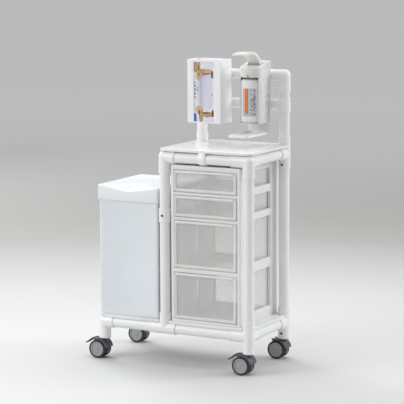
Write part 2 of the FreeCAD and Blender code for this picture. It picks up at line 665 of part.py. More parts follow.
def lever_pin(length):
    """Pin that the elbow lever turns on."""
    return rod((DISP_X - length / 2, LEVER_PIVOT_Y, LEVER_PIVOT_Z), X, length, LEVER_PIN_R)


def dispenser_lever():
    """Arched elbow lever on a barrel round its pin, with a finger over the plunger."""
    half = LEVER_HALF
    arch = extrude_side(LEVER_TOP + LEVER_UNDER[::-1], DISP_X - half, DISP_X + half)
    barrel = rod((DISP_X - half, LEVER_PIVOT_Y, LEVER_PIVOT_Z), X, 2 * half, LEVER_BARREL_R)
    finger = extrude_side(LEVER_FINGER, DISP_X - FINGER_HALF, DISP_X + FINGER_HALF)
    pad = rod((DISP_X - FINGER_HALF, PUMP_Y, LEVER_PAD_Z), X, 2 * FINGER_HALF, LEVER_PAD_R)
    body = joined([arch, barrel, finger, pad])
    return body.cut(rod((DISP_X - half - 1, LEVER_PIVOT_Y, LEVER_PIVOT_Z), X,
                        2 * half + 2, LEVER_PIN_R + RUNNING_FIT))


def bottle():
    """Hollow bottle with a round neck."""
    wall = BOTTLE_WALL
    outer = rounded_front(BOTTLE_HALF, BOTTLE_Y0, BOTTLE_Y1, BOTTLE_Z0, BOTTLE_Z1, BOTTLE_CORNER_R)
    inner = rounded_front(BOTTLE_HALF - wall, BOTTLE_Y0 + wall, BOTTLE_Y1 - wall,
                          BOTTLE_Z0 + wall, BOTTLE_Z1 - wall, BOTTLE_CORNER_R - wall)
    neck = rod((DISP_X, PUMP_Y, BOTTLE_Z1 - wall), Z, NECK_LENGTH, NECK_R)
    mouth = rod((DISP_X, PUMP_Y, BOTTLE_Z1 - wall - 1), Z, NECK_LENGTH + 2, NECK_R - wall)
    nodes["bottle"] = joined([outer, neck]).cut(inner).cut(mouth)


def pump():
    """Pump in the bottle's neck: collar, dip tube and spout, with a plunger in its bore."""
    axis = V(DISP_X, PUMP_Y, 0)
    collar_z = BOTTLE_Z1 + SHEET_GAP
    barrel_z = PUMP_TOP - BARREL_LENGTH
    tube_z = BOTTLE_Z0 + TUBE_CLEAR
    collar = rod(axis + Z * collar_z, Z, PUMP_TOP - collar_z, COLLAR_R)
    well = rod(axis + Z * collar_z, Z, NECK_LENGTH, NECK_R + GLUE_GAP)
    barrel = rod(axis + Z * barrel_z, Z, BARREL_LENGTH, BARREL_R)
    tube = rod(axis + Z * tube_z, Z, barrel_z - tube_z + 1, TUBE_R)
    spout = rod(axis + Z * SPOUT_Z, -Y, PUMP_Y - SPOUT_Y, SPOUT_R)
    drop = rod((DISP_X, SPOUT_Y + DROP_INSET, SPOUT_Z), -Z, DROP_LENGTH, DROP_R)
    body = joined([collar.cut(well), barrel, tube, spout, drop])
    bore = rod(axis + Z * (PUMP_TOP - PLUNGER_BORE), Z, PLUNGER_BORE + 1, PLUNGER_R + RUNNING_FIT)
    nodes["pump_body"] = body.cut(bore)
    stem = rod(axis + Z * (PUMP_TOP - PLUNGER_ENGAGED), Z,
               PLUNGER_ENGAGED + PLUNGER_STROKE_GAP + 1, PLUNGER_R)
    cap = rod(axis + Z * (PUMP_TOP + PLUNGER_STROKE_GAP), Z, PLUNGER_CAP, PLUNGER_CAP_R)
    nodes["pump_plunger"] = joined([stem, cap])


def drip_tray():
    """Shallow tray below the spout, with a tongue under the back plate."""
    half, wall = TRAY_HALF, TRAY_WALL
    rear = HOUSING_Y1 - 2 * wall
    tray = round_block((DISP_X - half, TRAY_Y0, TRAY_Z0), (DISP_X + half, HOUSING_Y1, TRAY_Z1),
                       TRAY_CORNER_R)
    dish = round_block((DISP_X - half + wall, TRAY_Y0 + wall, TRAY_Z0 + wall),
                       (DISP_X + half - wall, rear, TRAY_Z1 + 1), TRAY_CORNER_R - wall)
    tongue = block((DISP_X - half, rear - TRAY_CORNER_R, TRAY_Z0),
                   (DISP_X + half, BACK_Y, PLATE_Z0 - SHEET_GAP))
    nodes["drip_tray"] = joined([tray, tongue]).cut(dish)


# Casters, one per leg

def wheel_band(radius_in, radius_out, y0, y1, cx, cy):
    """Ring around a caster's axle between two y planes."""
    centre = V(cx - TRAIL, cy + y0, WHEEL_R)
    ring = rod(centre, Y, y1 - y0, radius_out)
    if radius_in > 0:
        ring = ring.cut(rod(centre, Y, y1 - y0, radius_in))
    return ring


def caster_stem(cx, cy):
    """Plug in the leg's socket with the steel stem that the fork turns on."""
    plug = rod((cx, cy, LEG_BOTTOM), Z, PLUG_LENGTH, PIPE_R)
    flange = rod((cx, cy, LEG_BOTTOM - FLANGE), Z, FLANGE, SOCKET_R - 2)
    stem = rod((cx, cy, STEM_END), Z, LEG_BOTTOM - STEM_END, STEM_R)
    return joined([plug, flange, stem])


def caster_fork(cx, cy):
    """Core between the wheels and a hood over them, bored for the stem, axle and pedal."""
    half, side = FORK_HALF, FORK_SIDE
    hood = wheel_band(FORK_HOOD_CLEAR_R, FORK_HOOD_R, -FORK_HOOD_HALF, FORK_HOOD_HALF, cx, cy)
    hood = hood.common(block((cx + FORK_HOOD_X[0], cy - side, FORK_HOOD_Z0),
                             (cx + FORK_HOOD_X[1], cy + side, FORK_TOP)))
    core = wheel_band(0, FORK_HOOD_CLEAR_R + 1, -half, half, cx, cy)
    core = core.common(block((cx + FORK_CORE_X[0], cy - side, FORK_CORE_Z0),
                             (cx + FORK_CORE_X[1], cy + side, FORK_TOP)))
    neck = block((cx + FORK_NECK_X[0], cy - half, FORK_NECK_Z0),
                 (cx + FORK_NECK_X[1], cy + half, FORK_TOP))
    lugs = [block((cx + BRAKE_PIVOT_X - 4, cy + y, BRAKE_PIVOT_Z - 5),
                  (cx + LUG_END, cy + y + LUG_THICK, FORK_TOP)) for y in LUG_Y]
    body = joined([hood, core, neck] + lugs)
    body = body.cut(rod((cx, cy, STEM_END - 1), Z, side, STEM_R + RUNNING_FIT))
    body = body.cut(rod((cx - TRAIL, cy - side, WHEEL_R), Y, 2 * side, AXLE_R + RUNNING_FIT))
    return body.cut(rod((cx + BRAKE_PIVOT_X, cy - side, BRAKE_PIVOT_Z), Y, 2 * side,
                        BRAKE_PIN_R + RUNNING_FIT))


def wheel_hubs(cx, cy):
    """Two wheel centres pressed on one axle."""
    rim = WHEEL_R - TREAD_DEPTH
    discs = []
    for side in (-1, 1):
        near, far = sorted((side * WHEEL_INNER, side * (WHEEL_OUTER - HUB_SUNK)))
        sunk = sorted((side * (WHEEL_OUTER - HUB_FACE), side * WHEEL_OUTER))
        disc = wheel_band(0, rim, near, far, cx, cy)
        discs.append(disc.cut(wheel_band(0, rim - HUB_RIM, *sunk, cx, cy)))
    axle = wheel_band(0, AXLE_R, -WHEEL_INNER - 2, WHEEL_INNER + 2, cx, cy)
    return joined([axle] + discs)


def wheel_treads(cx, cy):
    """Tyres on the two wheels, with rounded shoulders."""
    seat_r = WHEEL_R - TREAD_DEPTH + GLUE_GAP
    made = []
    for side in (-1, 1):
        near, far = sorted((side * WHEEL_INNER, side * WHEEL_OUTER))
        tyre = wheel_band(0, WHEEL_R, near, far, cx, cy)
        rims = [edge for edge in tyre.Edges if edge.BoundBox.YLength < 1e-3]
        tyre = tyre.makeFillet(TREAD_SHOULDER_R, rims)
        made.append(tyre.cut(wheel_band(0, seat_r, near - 1, far + 1, cx, cy)))
    return group(made)


def brake_pedal(cx, cy):
    """Toe pedal hinged between the lugs on the fork."""
    x, z = cx + BRAKE_PIVOT_X, BRAKE_PIVOT_Z
    tip_x, tip_z = cx + BRAKE_TIP_X, BRAKE_TIP_Z
    top = [(x, z + BRAKE_BARREL_R), (x - 12, z + 1), (tip_x + 12, tip_z + 9), (tip_x, tip_z + 2)]
    under = [(tip_x, tip_z - 1), (tip_x + 10, tip_z + 1), (x - 10, z - 6), (x, z - BRAKE_BARREL_R)]
    plate = extrude_front(top + under, cy - BRAKE_HALF, cy + BRAKE_HALF)
    barrel = rod((x, cy - BRAKE_HALF, z), Y, 2 * BRAKE_HALF, BRAKE_BARREL_R)
    pin = rod((x, cy - BRAKE_PIN_HALF, z), Y, 2 * BRAKE_PIN_HALF, BRAKE_PIN_R)
    return joined([plate, barrel, pin])


def casters():
    """A stem, fork, hubs and treads at each leg, with a brake pedal at the front two."""
    stems = []
    for leg, (cx, cy) in LEGS.items():
        stems.append(caster_stem(cx, cy))
        nodes[leg + "_caster_fork"] = caster_fork(cx, cy)
        nodes[leg + "_wheel_hubs"] = wheel_hubs(cx, cy)
        nodes[leg + "_wheel_treads"] = wheel_treads(cx, cy)
        if leg in BRAKED:
            nodes[leg + "_brake_pedal"] = brake_pedal(cx, cy)
    nodes["caster_stems"] = group([group(stems).cut(screws())])


frame_pipes()
frame_fittings()
frame_screws()
tabletop()
tabletop_clips()
base_board()
cabinet()
drawer_runners()
drawers()
bin_body()
lid_pins()
nodes["bin_lid"] = bin_lid()
bar_clips()
glove_holder()
glove_carton()
dispenser_plate()
dispenser_hood()
nodes["lever_pin"] = lever_pin(LEVER_PIN_LENGTH)
nodes["dispenser_lever"] = dispenser_lever()
bottle()
pump()
drip_tray()
casters()

FOOTPRINT_X = (X_LEFT + BRAKE_TIP_X, X_RIGHT + JUNCTION_R)
FOOTPRINT_Y = (Y_FRONT - WHEEL_OUTER, Y_REAR + TOP_REAR_TAB)
to_origin = V(-sum(FOOTPRINT_X) / 2, -sum(FOOTPRINT_Y) / 2, 0)

os.makedirs("parts", exist_ok=True)
for name, shape in nodes.items():
    shape.translate(to_origin)
    shape.exportStep(f"parts/{name}.step")
    if not shape.isValid() or shape.Volume <= 0:
        print("bad shape:", name)
print(len(nodes), "nodes")
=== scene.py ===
import json
import math

import bmesh
import bpy
from bpy.props import (FloatProperty, FloatVectorProperty, IntProperty, PointerProperty)
from mathutils import Matrix, Vector


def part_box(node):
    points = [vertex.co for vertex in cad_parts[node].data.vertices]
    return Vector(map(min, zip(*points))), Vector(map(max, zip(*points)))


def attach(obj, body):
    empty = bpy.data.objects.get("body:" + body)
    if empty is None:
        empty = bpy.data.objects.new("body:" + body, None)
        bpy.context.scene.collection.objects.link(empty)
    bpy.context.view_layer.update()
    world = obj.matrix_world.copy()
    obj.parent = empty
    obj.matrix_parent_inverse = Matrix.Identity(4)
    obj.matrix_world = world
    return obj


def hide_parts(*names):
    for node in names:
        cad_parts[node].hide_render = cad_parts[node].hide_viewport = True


bl_info = {
    "name": "Medication Cart",
    "version": (1, 0, 0),
    "blender": (4, 5, 0),
    "location": "View3D > Sidebar > Cart",
    "description": "Builds the visible pieces and finishes of a hospital medication cart",
    "category": "Object",
}

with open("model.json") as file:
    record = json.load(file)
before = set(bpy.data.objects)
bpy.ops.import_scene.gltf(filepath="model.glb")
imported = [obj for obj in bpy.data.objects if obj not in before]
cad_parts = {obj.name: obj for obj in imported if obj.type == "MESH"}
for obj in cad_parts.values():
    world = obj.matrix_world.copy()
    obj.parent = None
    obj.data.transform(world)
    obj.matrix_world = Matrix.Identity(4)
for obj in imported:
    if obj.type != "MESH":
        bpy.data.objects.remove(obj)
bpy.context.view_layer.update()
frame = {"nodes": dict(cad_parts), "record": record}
RECORD = frame["record"]
BODY_OF = {n: b for b, nodes in RECORD["behaviour"]["bodies"].items() for n in nodes}
SLOT_OF = {s["node"]: s["material_slot"] for s in RECORD["subparts"]}
MM = 0.001
AXES = (Vector((1, 0, 0)), Vector((0, 1, 0)), Vector((0, 0, 1)))

PIPE_NODES = ("front_right_post", "front_middle_post", "rear_middle_upright",
              "rear_right_upright", "lower_front_rails", "lower_rear_rails",
              "lower_side_rails", "top_front_rail", "top_rear_rail", "top_side_rails",
              "brace_rail", "upper_crossbar", "lower_crossbar")
FITTING_NODES = ("lower_corner_fittings", "lower_tee_fittings", "top_corner_fittings",
                 "small_tee_fittings", "elbow_fittings")
DRAWERS = ("top_drawer", "second_drawer", "third_drawer", "bottom_drawer")
LEGS = ("front_left", "front_right", "rear_left", "rear_right")

# Sizes of details that are shaped here and don't come from the frame
MIN_CORNER_R = 2.5 * MM
RECESS_STEP = 2.5 * MM
PATCH_EDGE = 12.0
ARM_R, BEAD_R = 24.3 * MM, 25.0 * MM
BALL_RINGS = 16
SHORTEST_ARM = 26.4 * MM
ARM_SETBACK = 1.2 * MM
BEAD_CLEARANCE = 0.15 * MM
PULL_DEPTH = 9.0 * MM
BIN_CORNER_R = 7 * MM
BIN_WALL = 2.5 * MM
HINGE_REACH = 11 * MM
EAR_WIDTH, EAR_R = 5 * MM, 4 * MM
LID_RINGS, LID_RING_STEP = 13, 9.5 * MM
LID_SIDE_STEPS = 18
DIP_REACH, DIP_SOFTNESS = 135 * MM, 0.035
BOTTLE_NECK, BOTTLE_CORNER_R = 12 * MM, 34 * MM
DASH_PITCH = 0.016

# Blots on the carton's front: centre from the middle and half size, in mm, power, raggedness
# of the edge, colour
TAN, DARK, WARM = (0.47, 0.30, 0.16), (0.16, 0.07, 0.035), (0.60, 0.43, 0.28)
CARTON_PRINTS = (
    (4, 0, 34, 75, 4.0, 0.15, (0.64, 0.64, 0.74)),
    (-34, 106, 17, 30, 2.2, 0.9, TAN),
    (-26, 86, 3, 22, 2.0, 0.9, DARK),
    (-6, 79, 27, 14, 2.0, 1.1, TAN),
    (18, 82, 20, 11, 2.0, 1.1, WARM),
    (-26, 64, 13, 18, 2.0, 0.5, WARM),
    (-24, 70, 3, 8, 2.0, 0.5, DARK),
    (14, 73, 20, 2.2, 2.0, 0.9, DARK),
    (36, 70, 5, 15, 3.0, 0.4, DARK),
    (-22, -74, 19, 19, 2.0, 0.6, WARM),
    (-14, -98, 11, 26, 2.0, 1.0, TAN),
    (16, -91, 27, 12, 2.0, 1.1, TAN),
    (6, -85, 18, 3, 2.0, 0.9, DARK),
    (-23, -84, 4, 11, 2.0, 0.6, DARK),
    (38, -86, 5, 15, 3.0, 0.4, DARK),
    (-42, -106, 7, 18, 4.0, 0.2, (0.03, 0.16, 0.62)),
    (-31, 10, 3.2, 12, 2.0, 0.4, (0.10, 0.48, 0.84)),
    (36, -10, 2.8, 6, 2.0, 0.0, (0.30, 0.52, 0.08)),
    (37, -75, 2.6, 3, 2.0, 0.0, (0.65, 0.06, 0.05)),
)

# Stage: lights as name, place and size; the camera's place and axes; the floor's height, and how
# far its grey band of painted shade, standing in for the light falling off away from the cart, is
# mixed in at each part of its reach
AREA_LIGHTS = (("key", (-2.6, -3.0, 2.6), 2.2), ("right", (4.0, 2.4, 2.7), 2.4),
               ("left", (-4.6, 2.6, 3.1), 2.6), ("overhead", (0, 0, 4.4), 3.0))
LIGHT_TARGET = Vector((0, 0, 0.6))
CAMERA_PLACE = (3.5413, -6.5140, 1.7500)
CAMERA_RIGHT = Vector((0.8825, 0.4703, -0.0036))
CAMERA_UP = Vector((-0.0664, 0.1320, 0.9890))
FLOOR_Z = -0.0002
FLOOR_REACH = 12.0
FLOOR_SHADE_BAND = ((0.0, 0.0), (0.075, 0.0), (0.133, 0.185), (0.2, 0.59), (0.25, 0.91), (0.308, 1.0),
              (0.375, 0.93), (0.458, 0.715), (0.55, 0.41), (0.66, 0.15), (0.87, 0.0))


# Mesh helpers

def new_object(name, mesh):
    obj = bpy.data.objects.new(name, mesh)
    bpy.context.scene.collection.objects.link(obj)
    return obj


def from_bmesh(name, bm):
    """Object from a bmesh, with its doubles merged and its faces outwards."""
    bmesh.ops.remove_doubles(bm, verts=bm.verts, dist=1e-6)
    bmesh.ops.recalc_face_normals(bm, faces=bm.faces)
    mesh = bpy.data.meshes.new(name)
    bm.to_mesh(mesh)
    bm.free()
    return new_object(name, mesh)


def baked(obj):
    """Turn an object's modifiers into its own plain mesh."""
    bpy.context.view_layer.update()
    depsgraph = bpy.context.evaluated_depsgraph_get()
    mesh = bpy.data.meshes.new_from_object(obj.evaluated_get(depsgraph))
    obj.modifiers.clear()
    obj.data = mesh
    return obj


def shade(obj, degrees=35):
    """Smooth shading, with edges sharper than the angle kept crisp."""
    obj.data.shade_smooth()
    obj.data.set_sharp_from_angle(angle=math.radians(degrees))
    return obj


def settle(obj, material, *nodes, body=None, slot=None, degrees=35):
    """Give a finished piece its shading, material and body, and hide the nodes it stands for."""
    shade(obj, degrees)
    if material is not None:
        obj.data.materials.clear()
        obj.data.materials.append(material)
    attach(obj, body or BODY_OF[nodes[0]])
    if nodes:
        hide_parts(*nodes)
    return obj


def keep_node(node, material):
    """A CAD node that stays as it is, with a finish of its own."""
    mesh = frame["nodes"][node].data
    mesh.materials.clear()
    mesh.materials.append(material)


def islands(node):
    """Boxes of the separate solids in a CAD node, sorted by their low corners."""
    mesh = frame["nodes"][node].data
    key_of = [tuple(round(c, 6) for c in v.co) for v in mesh.vertices]
    parent = {k: k for k in key_of}

    def root(k):
        while parent[k] != k:
            parent[k] = parent[parent[k]]
            k = parent[k]
        return k

    for poly in mesh.polygons:
        first = root(key_of[poly.vertices[0]])
        for v in poly.vertices[1:]:
            parent[root(key_of[v])] = first
    boxes = {}
    for k in parent:
        lo, hi = boxes.setdefault(root(k), (list(k), list(k)))
        for i in range(3):
            lo[i] = min(lo[i], k[i])
            hi[i] = max(hi[i], k[i])
    return sorted((Vector(lo), Vector(hi)) for lo, hi in boxes.values())


def centre_of(box):
    return (box[0] + box[1]) / 2


def outline(rect, radius, inset=0.0, recess=0.0, margin=0.0, steps=6, sides=1):
    """(x, y) points round a rounded rectangle, anticlockwise from its right front corner.

    With a margin, each side steps in by the recess between its two ends."""
    x0, y0, x1, y1 = rect[0] + inset, rect[1] + inset, rect[2] - inset, rect[3] - inset
    r = max(radius - inset, min(radius, MIN_CORNER_R))
    corners = ((x1 - r, y0 + r, -90), (x1 - r, y1 - r, 0), (x0 + r, y1 - r, 90),
               (x0 + r, y0 + r, 180))
    arcs = []
    for cx, cy, start in corners:
        angles = [math.radians(start + 90 * i / steps) for i in range(steps + 1)]
        arcs.append([Vector((cx + r * math.cos(a), cy + r * math.sin(a))) for a in angles])
    points = []
    for k, arc in enumerate(arcs):
        points.extend(arc)
        begin, end = arc[-1], arcs[(k + 1) % 4][0]
        length = (end - begin).length
        along = (end - begin) / length
        inward = Vector((-along.y, along.x))
        if margin:
            inner = margin + RECESS_STEP
            for t, depth in ((margin, 0), (inner, recess), (length - inner, recess),
                             (length - margin, 0)):
                points.append(begin + along * t + inward * depth)
        else:
            points.extend(begin + along * length * i / sides for i in range(1, sides))
    return points


def level(points, z):
    """Lift (x, y) points to a height."""
    return [Vector((p[0], p[1], z)) for p in points]


def loft(bm, rings, cap_first=True, cap_last=True):
    """Skin between rings that have the same number of points."""
    loops = [[bm.verts.new(p) for p in ring] for ring in rings]
    for a, b in zip(loops, loops[1:]):
        for i in range(len(a)):
            j = (i + 1) % len(a)
            bm.faces.new((a[i], a[j], b[j], b[i]))
    if cap_first:
        bm.faces.new(loops[0][::-1])
    if cap_last:
        bm.faces.new(loops[-1])


def turned(bm, profile, origin, axis, steps=48):
    """Spin (radius, height) points round an axis through the origin point."""
    axis = Vector(axis).normalized()
    side = axis.orthogonal().normalized()
    other = axis.cross(side)
    loops = []
    for radius, height in profile:
        base = Vector(origin) + axis * height
        if radius < 1e-7:
            loops.append([bm.verts.new(base)])
            continue
        loops.append([bm.verts.new(base + (side * math.cos(t) + other * math.sin(t)) * radius)
                      for t in (2 * math.pi * i / steps for i in range(steps))])
    for a, b in zip(loops, loops[1:]):
        for i in range(steps):
            j = (i + 1) % steps
            corners = (a[i % len(a)], a[j % len(a)], b[j % len(b)], b[i % len(b)])
            unique = list(dict.fromkeys(corners))
            if len(unique) > 2:
                bm.faces.new(unique)


def slab(bm, rect, z0, z1, radius, edge, steps=6, rounds=3):
    """Flat plate with rounded corners and rounded upper and lower edges."""
    turns = [math.pi / 2 * k / rounds for k in range(rounds + 1)]
    rings = []
    for z, sign, angles in ((z0, 1, turns), (z1, -1, turns[::-1])):
        for t in angles:
            points = outline(rect, radius, edge * (1 - math.sin(t)), steps=steps)
            rings.append(level(points, z + sign * edge * (1 - math.cos(t))))
    loft(bm, rings)


def prism(bm, points, x0, x1):
    """Block between two x values whose section is a ring of (y, z) points."""
    a, b = ([bm.verts.new((x, y, z)) for y, z in points] for x in (x0, x1))
    for i in range(len(points)):
        j = (i + 1) % len(points)
        bm.faces.new((a[i], a[j], b[j], b[i]))
    bm.faces.new(a)
    bm.faces.new(b[::-1])


def shifted(a, b, steps):
    """Points at steps in millimetres from (a, b)."""
    return [(a + da * MM, b + db * MM) for da, db in steps]


def bar(bm, lo, hi, edge):
    """Small rounded block between two corners."""
    slab(bm, (lo[0], lo[1], hi[0], hi[1]), lo[2], hi[2], edge * 2, edge, steps=3, rounds=2)


def rounded(name, node, look, width, segments=2, bend=32, degrees=35):
    """Copy of a CAD node with rounded edges, finished and set in the node's place."""
    mesh = frame["nodes"][node].data.copy()
    mesh.name = name
    bm = bmesh.new()
    bm.from_mesh(mesh)
    bmesh.ops.remove_doubles(bm, verts=bm.verts, dist=2e-6)
    bmesh.ops.dissolve_limit(bm, angle_limit=math.radians(1.0), verts=bm.verts, edges=bm.edges)
    bm.to_mesh(mesh)
    bm.free()
    obj = new_object(name, mesh)
    bevel = obj.modifiers.new("soft_edges", "BEVEL")
    bevel.width = width
    bevel.segments = segments
    bevel.limit_method = "ANGLE"
    bevel.angle_limit = math.radians(bend)
    bevel.use_clamp_overlap = True
    return settle(baked(obj), finishes()[look], node, degrees=degrees)


def finished(name, bm, look, *nodes, part_of=None, degrees=35):
    """Finished object from a bmesh, in a node's place or as an extra part of one."""
    near = part_of or nodes[0]
    return settle(from_bmesh(name, bm), finishes()[look], *nodes, body=BODY_OF[near],
                  slot=SLOT_OF[near], degrees=degrees)


# Geometry Nodes

def node_tree(name, inputs):
    """Geometry tree with named inputs; returns it, the inputs' identifiers and its end nodes."""
    tree = bpy.data.node_groups.new(name, "GeometryNodeTree")
    tree.interface.new_socket("Geometry", in_out="OUTPUT", socket_type="NodeSocketGeometry")
    ids = {}
    for label, kind in inputs:
        ids[label] = tree.interface.new_socket(label, in_out="INPUT", socket_type=kind).identifier
    return tree, ids, tree.nodes.new("NodeGroupInput"), tree.nodes.new("NodeGroupOutput")


def end_tree(tree, source, entry, exit_node):
    """Close a tree with Realize Instances and Set Material."""
    real = tree.nodes.new("GeometryNodeRealizeInstances")
    finish = tree.nodes.new("GeometryNodeSetMaterial")
    tree.links.new(source, real.inputs[0])
    tree.links.new(real.outputs[0], finish.inputs["Geometry"])
    tree.links.new(entry.outputs["Material"], finish.inputs["Material"])
    tree.links.new(finish.outputs[0], exit_node.inputs[0])


def pipe_tree():
    """Tree that turns each loose edge of a mesh into a length of round pipe."""
    tree, ids, entry, leave = node_tree("PipeRuns", (
        ("Geometry", "NodeSocketGeometry"), ("Radius", "NodeSocketFloat"),
        ("Sides", "NodeSocketInt"), ("Material", "NodeSocketMaterial")))
    curve = tree.nodes.new("GeometryNodeMeshToCurve")
    circle = tree.nodes.new("GeometryNodeCurvePrimitiveCircle")
    skin = tree.nodes.new("GeometryNodeCurveToMesh")
    for source, target in ((entry.outputs["Geometry"], curve.inputs[0]),
                           (entry.outputs["Radius"], circle.inputs["Radius"]),
                           (entry.outputs["Sides"], circle.inputs["Resolution"]),
                           (curve.outputs[0], skin.inputs["Curve"]),
                           (circle.outputs["Curve"], skin.inputs["Profile Curve"])):
        tree.links.new(source, target)
    skin.inputs["Fill Caps"].default_value = True
    end_tree(tree, skin.outputs[0], entry, leave)
    return tree, ids


def repeat_tree():
    """Tree that sets a template at each point, turned by the point's angle attribute."""
    tree, ids, entry, leave = node_tree("RepeatedPieces", (
        ("Geometry", "NodeSocketGeometry"), ("Template", "NodeSocketObject"),
        ("Size", "NodeSocketFloat"), ("Material", "NodeSocketMaterial")))
    info = tree.nodes.new("GeometryNodeObjectInfo")
    angle = tree.nodes.new("GeometryNodeInputNamedAttribute")
    angle.data_type = "FLOAT_VECTOR"
    angle.inputs["Name"].default_value = "turn"
    place = tree.nodes.new("GeometryNodeInstanceOnPoints")
    for source, target in ((entry.outputs["Template"], info.inputs[0]),
                           (entry.outputs["Geometry"], place.inputs["Points"]),
                           (info.outputs["Geometry"], place.inputs["Instance"]),
                           (angle.outputs["Attribute"], place.inputs["Rotation"]),
                           (entry.outputs["Size"], place.inputs["Scale"])):
        tree.links.new(source, target)
    end_tree(tree, place.outputs[0], entry, leave)
    return tree, ids


def run_tree(obj, tree, ids, values):
    """Apply a tree with its inputs set, and leave a plain mesh."""
    modifier = obj.modifiers.new(tree.name, "NODES")
    modifier.node_group = tree
    for label, value in values.items():
        modifier[ids[label]] = value
    return baked(obj)


def repeated(name, template, points, turns, material):
    """One mesh of a template copied to each point."""
    mesh = bpy.data.meshes.new(name)
    mesh.from_pydata([tuple(p) for p in points], [], [])
    turn = mesh.attributes.new("turn", "FLOAT_VECTOR", "POINT")
    for i, value in enumerate(turns):
        turn.data[i].vector = value
    tree, ids = TREES["repeat"]
    obj = run_tree(new_object(name, mesh), tree, ids,
                   {"Template": template, "Size": 1.0, "Material": material})
    bpy.data.objects.remove(template)
    return obj


# Shader nodes

def shader_group(name, inputs, outputs):
    """Shader group with float sockets; returns it with a net, its inputs and its outputs."""
    group = bpy.data.node_groups.new(name, "ShaderNodeTree")
    for label, default in inputs:
        socket = group.interface.new_socket(label, in_out="INPUT", socket_type="NodeSocketFloat")
        socket.default_value = default
    for label in outputs:
        group.interface.new_socket(label, in_out="OUTPUT", socket_type="NodeSocketFloat")
    given = group.nodes.new("NodeGroupInput").outputs
    return group, Net(group), given, group.nodes.new("NodeGroupOutput").inputs


class Net:
    """Short ways to add and link the nodes of one shader tree."""

    def __init__(self, tree):
        self.nodes, self.link = tree.nodes, tree.links.new

    @property
    def shader(self):
        return self.nodes["Principled BSDF"]

    def add(self, kind):
        return self.nodes.new("ShaderNode" + kind)

    def feed(self, socket, value):
        """Link an input to a socket, or set it to a number or colour; None leaves it alone."""
        if isinstance(value, bpy.types.NodeSocket):
            self.link(value, socket)
        elif value is not None:
            socket.default_value = value

    def group(self, name):
        """Node that runs one of the shared groups."""
        node = self.add("Group")
        node.node_tree = GROUPS[name]
        return node

    def coords(self):
        return self.add("TexCoord").outputs["Object"]

    def xyz(self):
        """X, Y and Z of the object coordinates."""
        node = self.add("SeparateXYZ")
        self.link(self.coords(), node.inputs[0])
        return node.outputs

    def math(self, operation, a, b=None, clamp=False):
        """Math node whose inputs are sockets or numbers."""
        node = self.add("Math")
        node.operation = operation
        node.use_clamp = clamp
        self.feed(node.inputs[0], a)
        self.feed(node.inputs[1], b)
        return node.outputs[0]

    def noise(self, scale, detail, coords=None, roughness=0.5):
        """Noise on object coordinates; scale is a number or a socket."""
        node = self.add("TexNoise")
        node.inputs["Detail"].default_value = detail
        node.inputs["Roughness"].default_value = roughness
        self.feed(node.inputs["Scale"], scale)
        self.link(self.coords() if coords is None else coords, node.inputs["Vector"])
        return node.outputs["Fac"]

    def bump(self, height, distance, strength=None, normal=None):
        """Bump over an earlier normal."""
        node = self.add("Bump")
        for label, value in (("Height", height), ("Distance", distance),
                             ("Strength", strength), ("Normal", normal)):
            self.feed(node.inputs[label], value)
        return node.outputs["Normal"]

    def ramp(self, value, stops):
        """Colour that runs through (position, colour) stops as a factor rises."""
        node = self.add("ValToRGB")
        for position, _ in stops[1:-1]:
            node.color_ramp.elements.new(position)
        for element, (position, colour) in zip(node.color_ramp.elements, stops):
            element.position = position
            element.color = (*colour, 1)
        self.link(value, node.inputs["Fac"])
        return node.outputs["Color"]

    def mix(self, factor, a, b):
        """Mix of two colours, each a socket or a colour, by a factor socket."""
        node = self.add("Mix")
        node.data_type = "RGBA"
        self.link(factor, node.inputs["Factor"])
        for label, value in (("A", a), ("B", b)):
            linked = isinstance(value, bpy.types.NodeSocket)
            self.feed(node.inputs[label], value if linked else (*value[:3], 1))
        return node.outputs["Result"]

    def patch(self, u, v, centre, half, power=2.0, ragged=0.0):
        """Mask of an ellipse (power 2) or a rounded block (power 8) on two coordinates."""
        total = None
        for socket, c, h in ((u, centre[0], half[0]), (v, centre[1], half[1])):
            away = self.math("DIVIDE", self.math("SUBTRACT", socket, c), h)
            away = self.math("POWER", self.math("ABSOLUTE", away), power)
            total = away if total is None else self.math("ADD", total, away)
        if ragged:
            total = self.math("ADD", total, self.math("MULTIPLY", self.noise(70.0, 3.0), ragged))
        inside = self.math("SUBTRACT", 1.0 + ragged / 2, total)
        return self.math("MULTIPLY", inside, PATCH_EDGE, True)

    def paint(self, colour, *masks):
        """Lay a colour over the base colour where every mask is one."""
        mask = masks[0]
        for other in masks[1:]:
            mask = self.math("MULTIPLY", mask, other, True)
        base = self.shader.inputs["Base Color"]
        self.link(self.mix(mask, base.links[0].from_socket, colour), base)


def surface_group():
    """Moulded or coated surface: fine grain, soft waviness, tone and gloss variation."""
    group, net, given, leave = shader_group(
        "MouldedSurface", (("Grain Scale", 900.0), ("Wave Scale", 9.0), ("Tone Scale", 5.0)),
        ("Grain", "Wave", "Tone", "Gloss"))
    coords = net.coords()
    smear_scale = net.math("MULTIPLY", given["Tone Scale"], 7.0)
    for label, scale, detail, roughness in (
            ("Grain", given["Grain Scale"], 3.0, 0.65), ("Wave", given["Wave Scale"], 2.0, 0.5),
            ("Tone", given["Tone Scale"], 5.0, 0.6), ("Gloss", smear_scale, 4.0, 0.7)):
        net.link(net.noise(scale, detail, coords, roughness), leave[label])
    return group


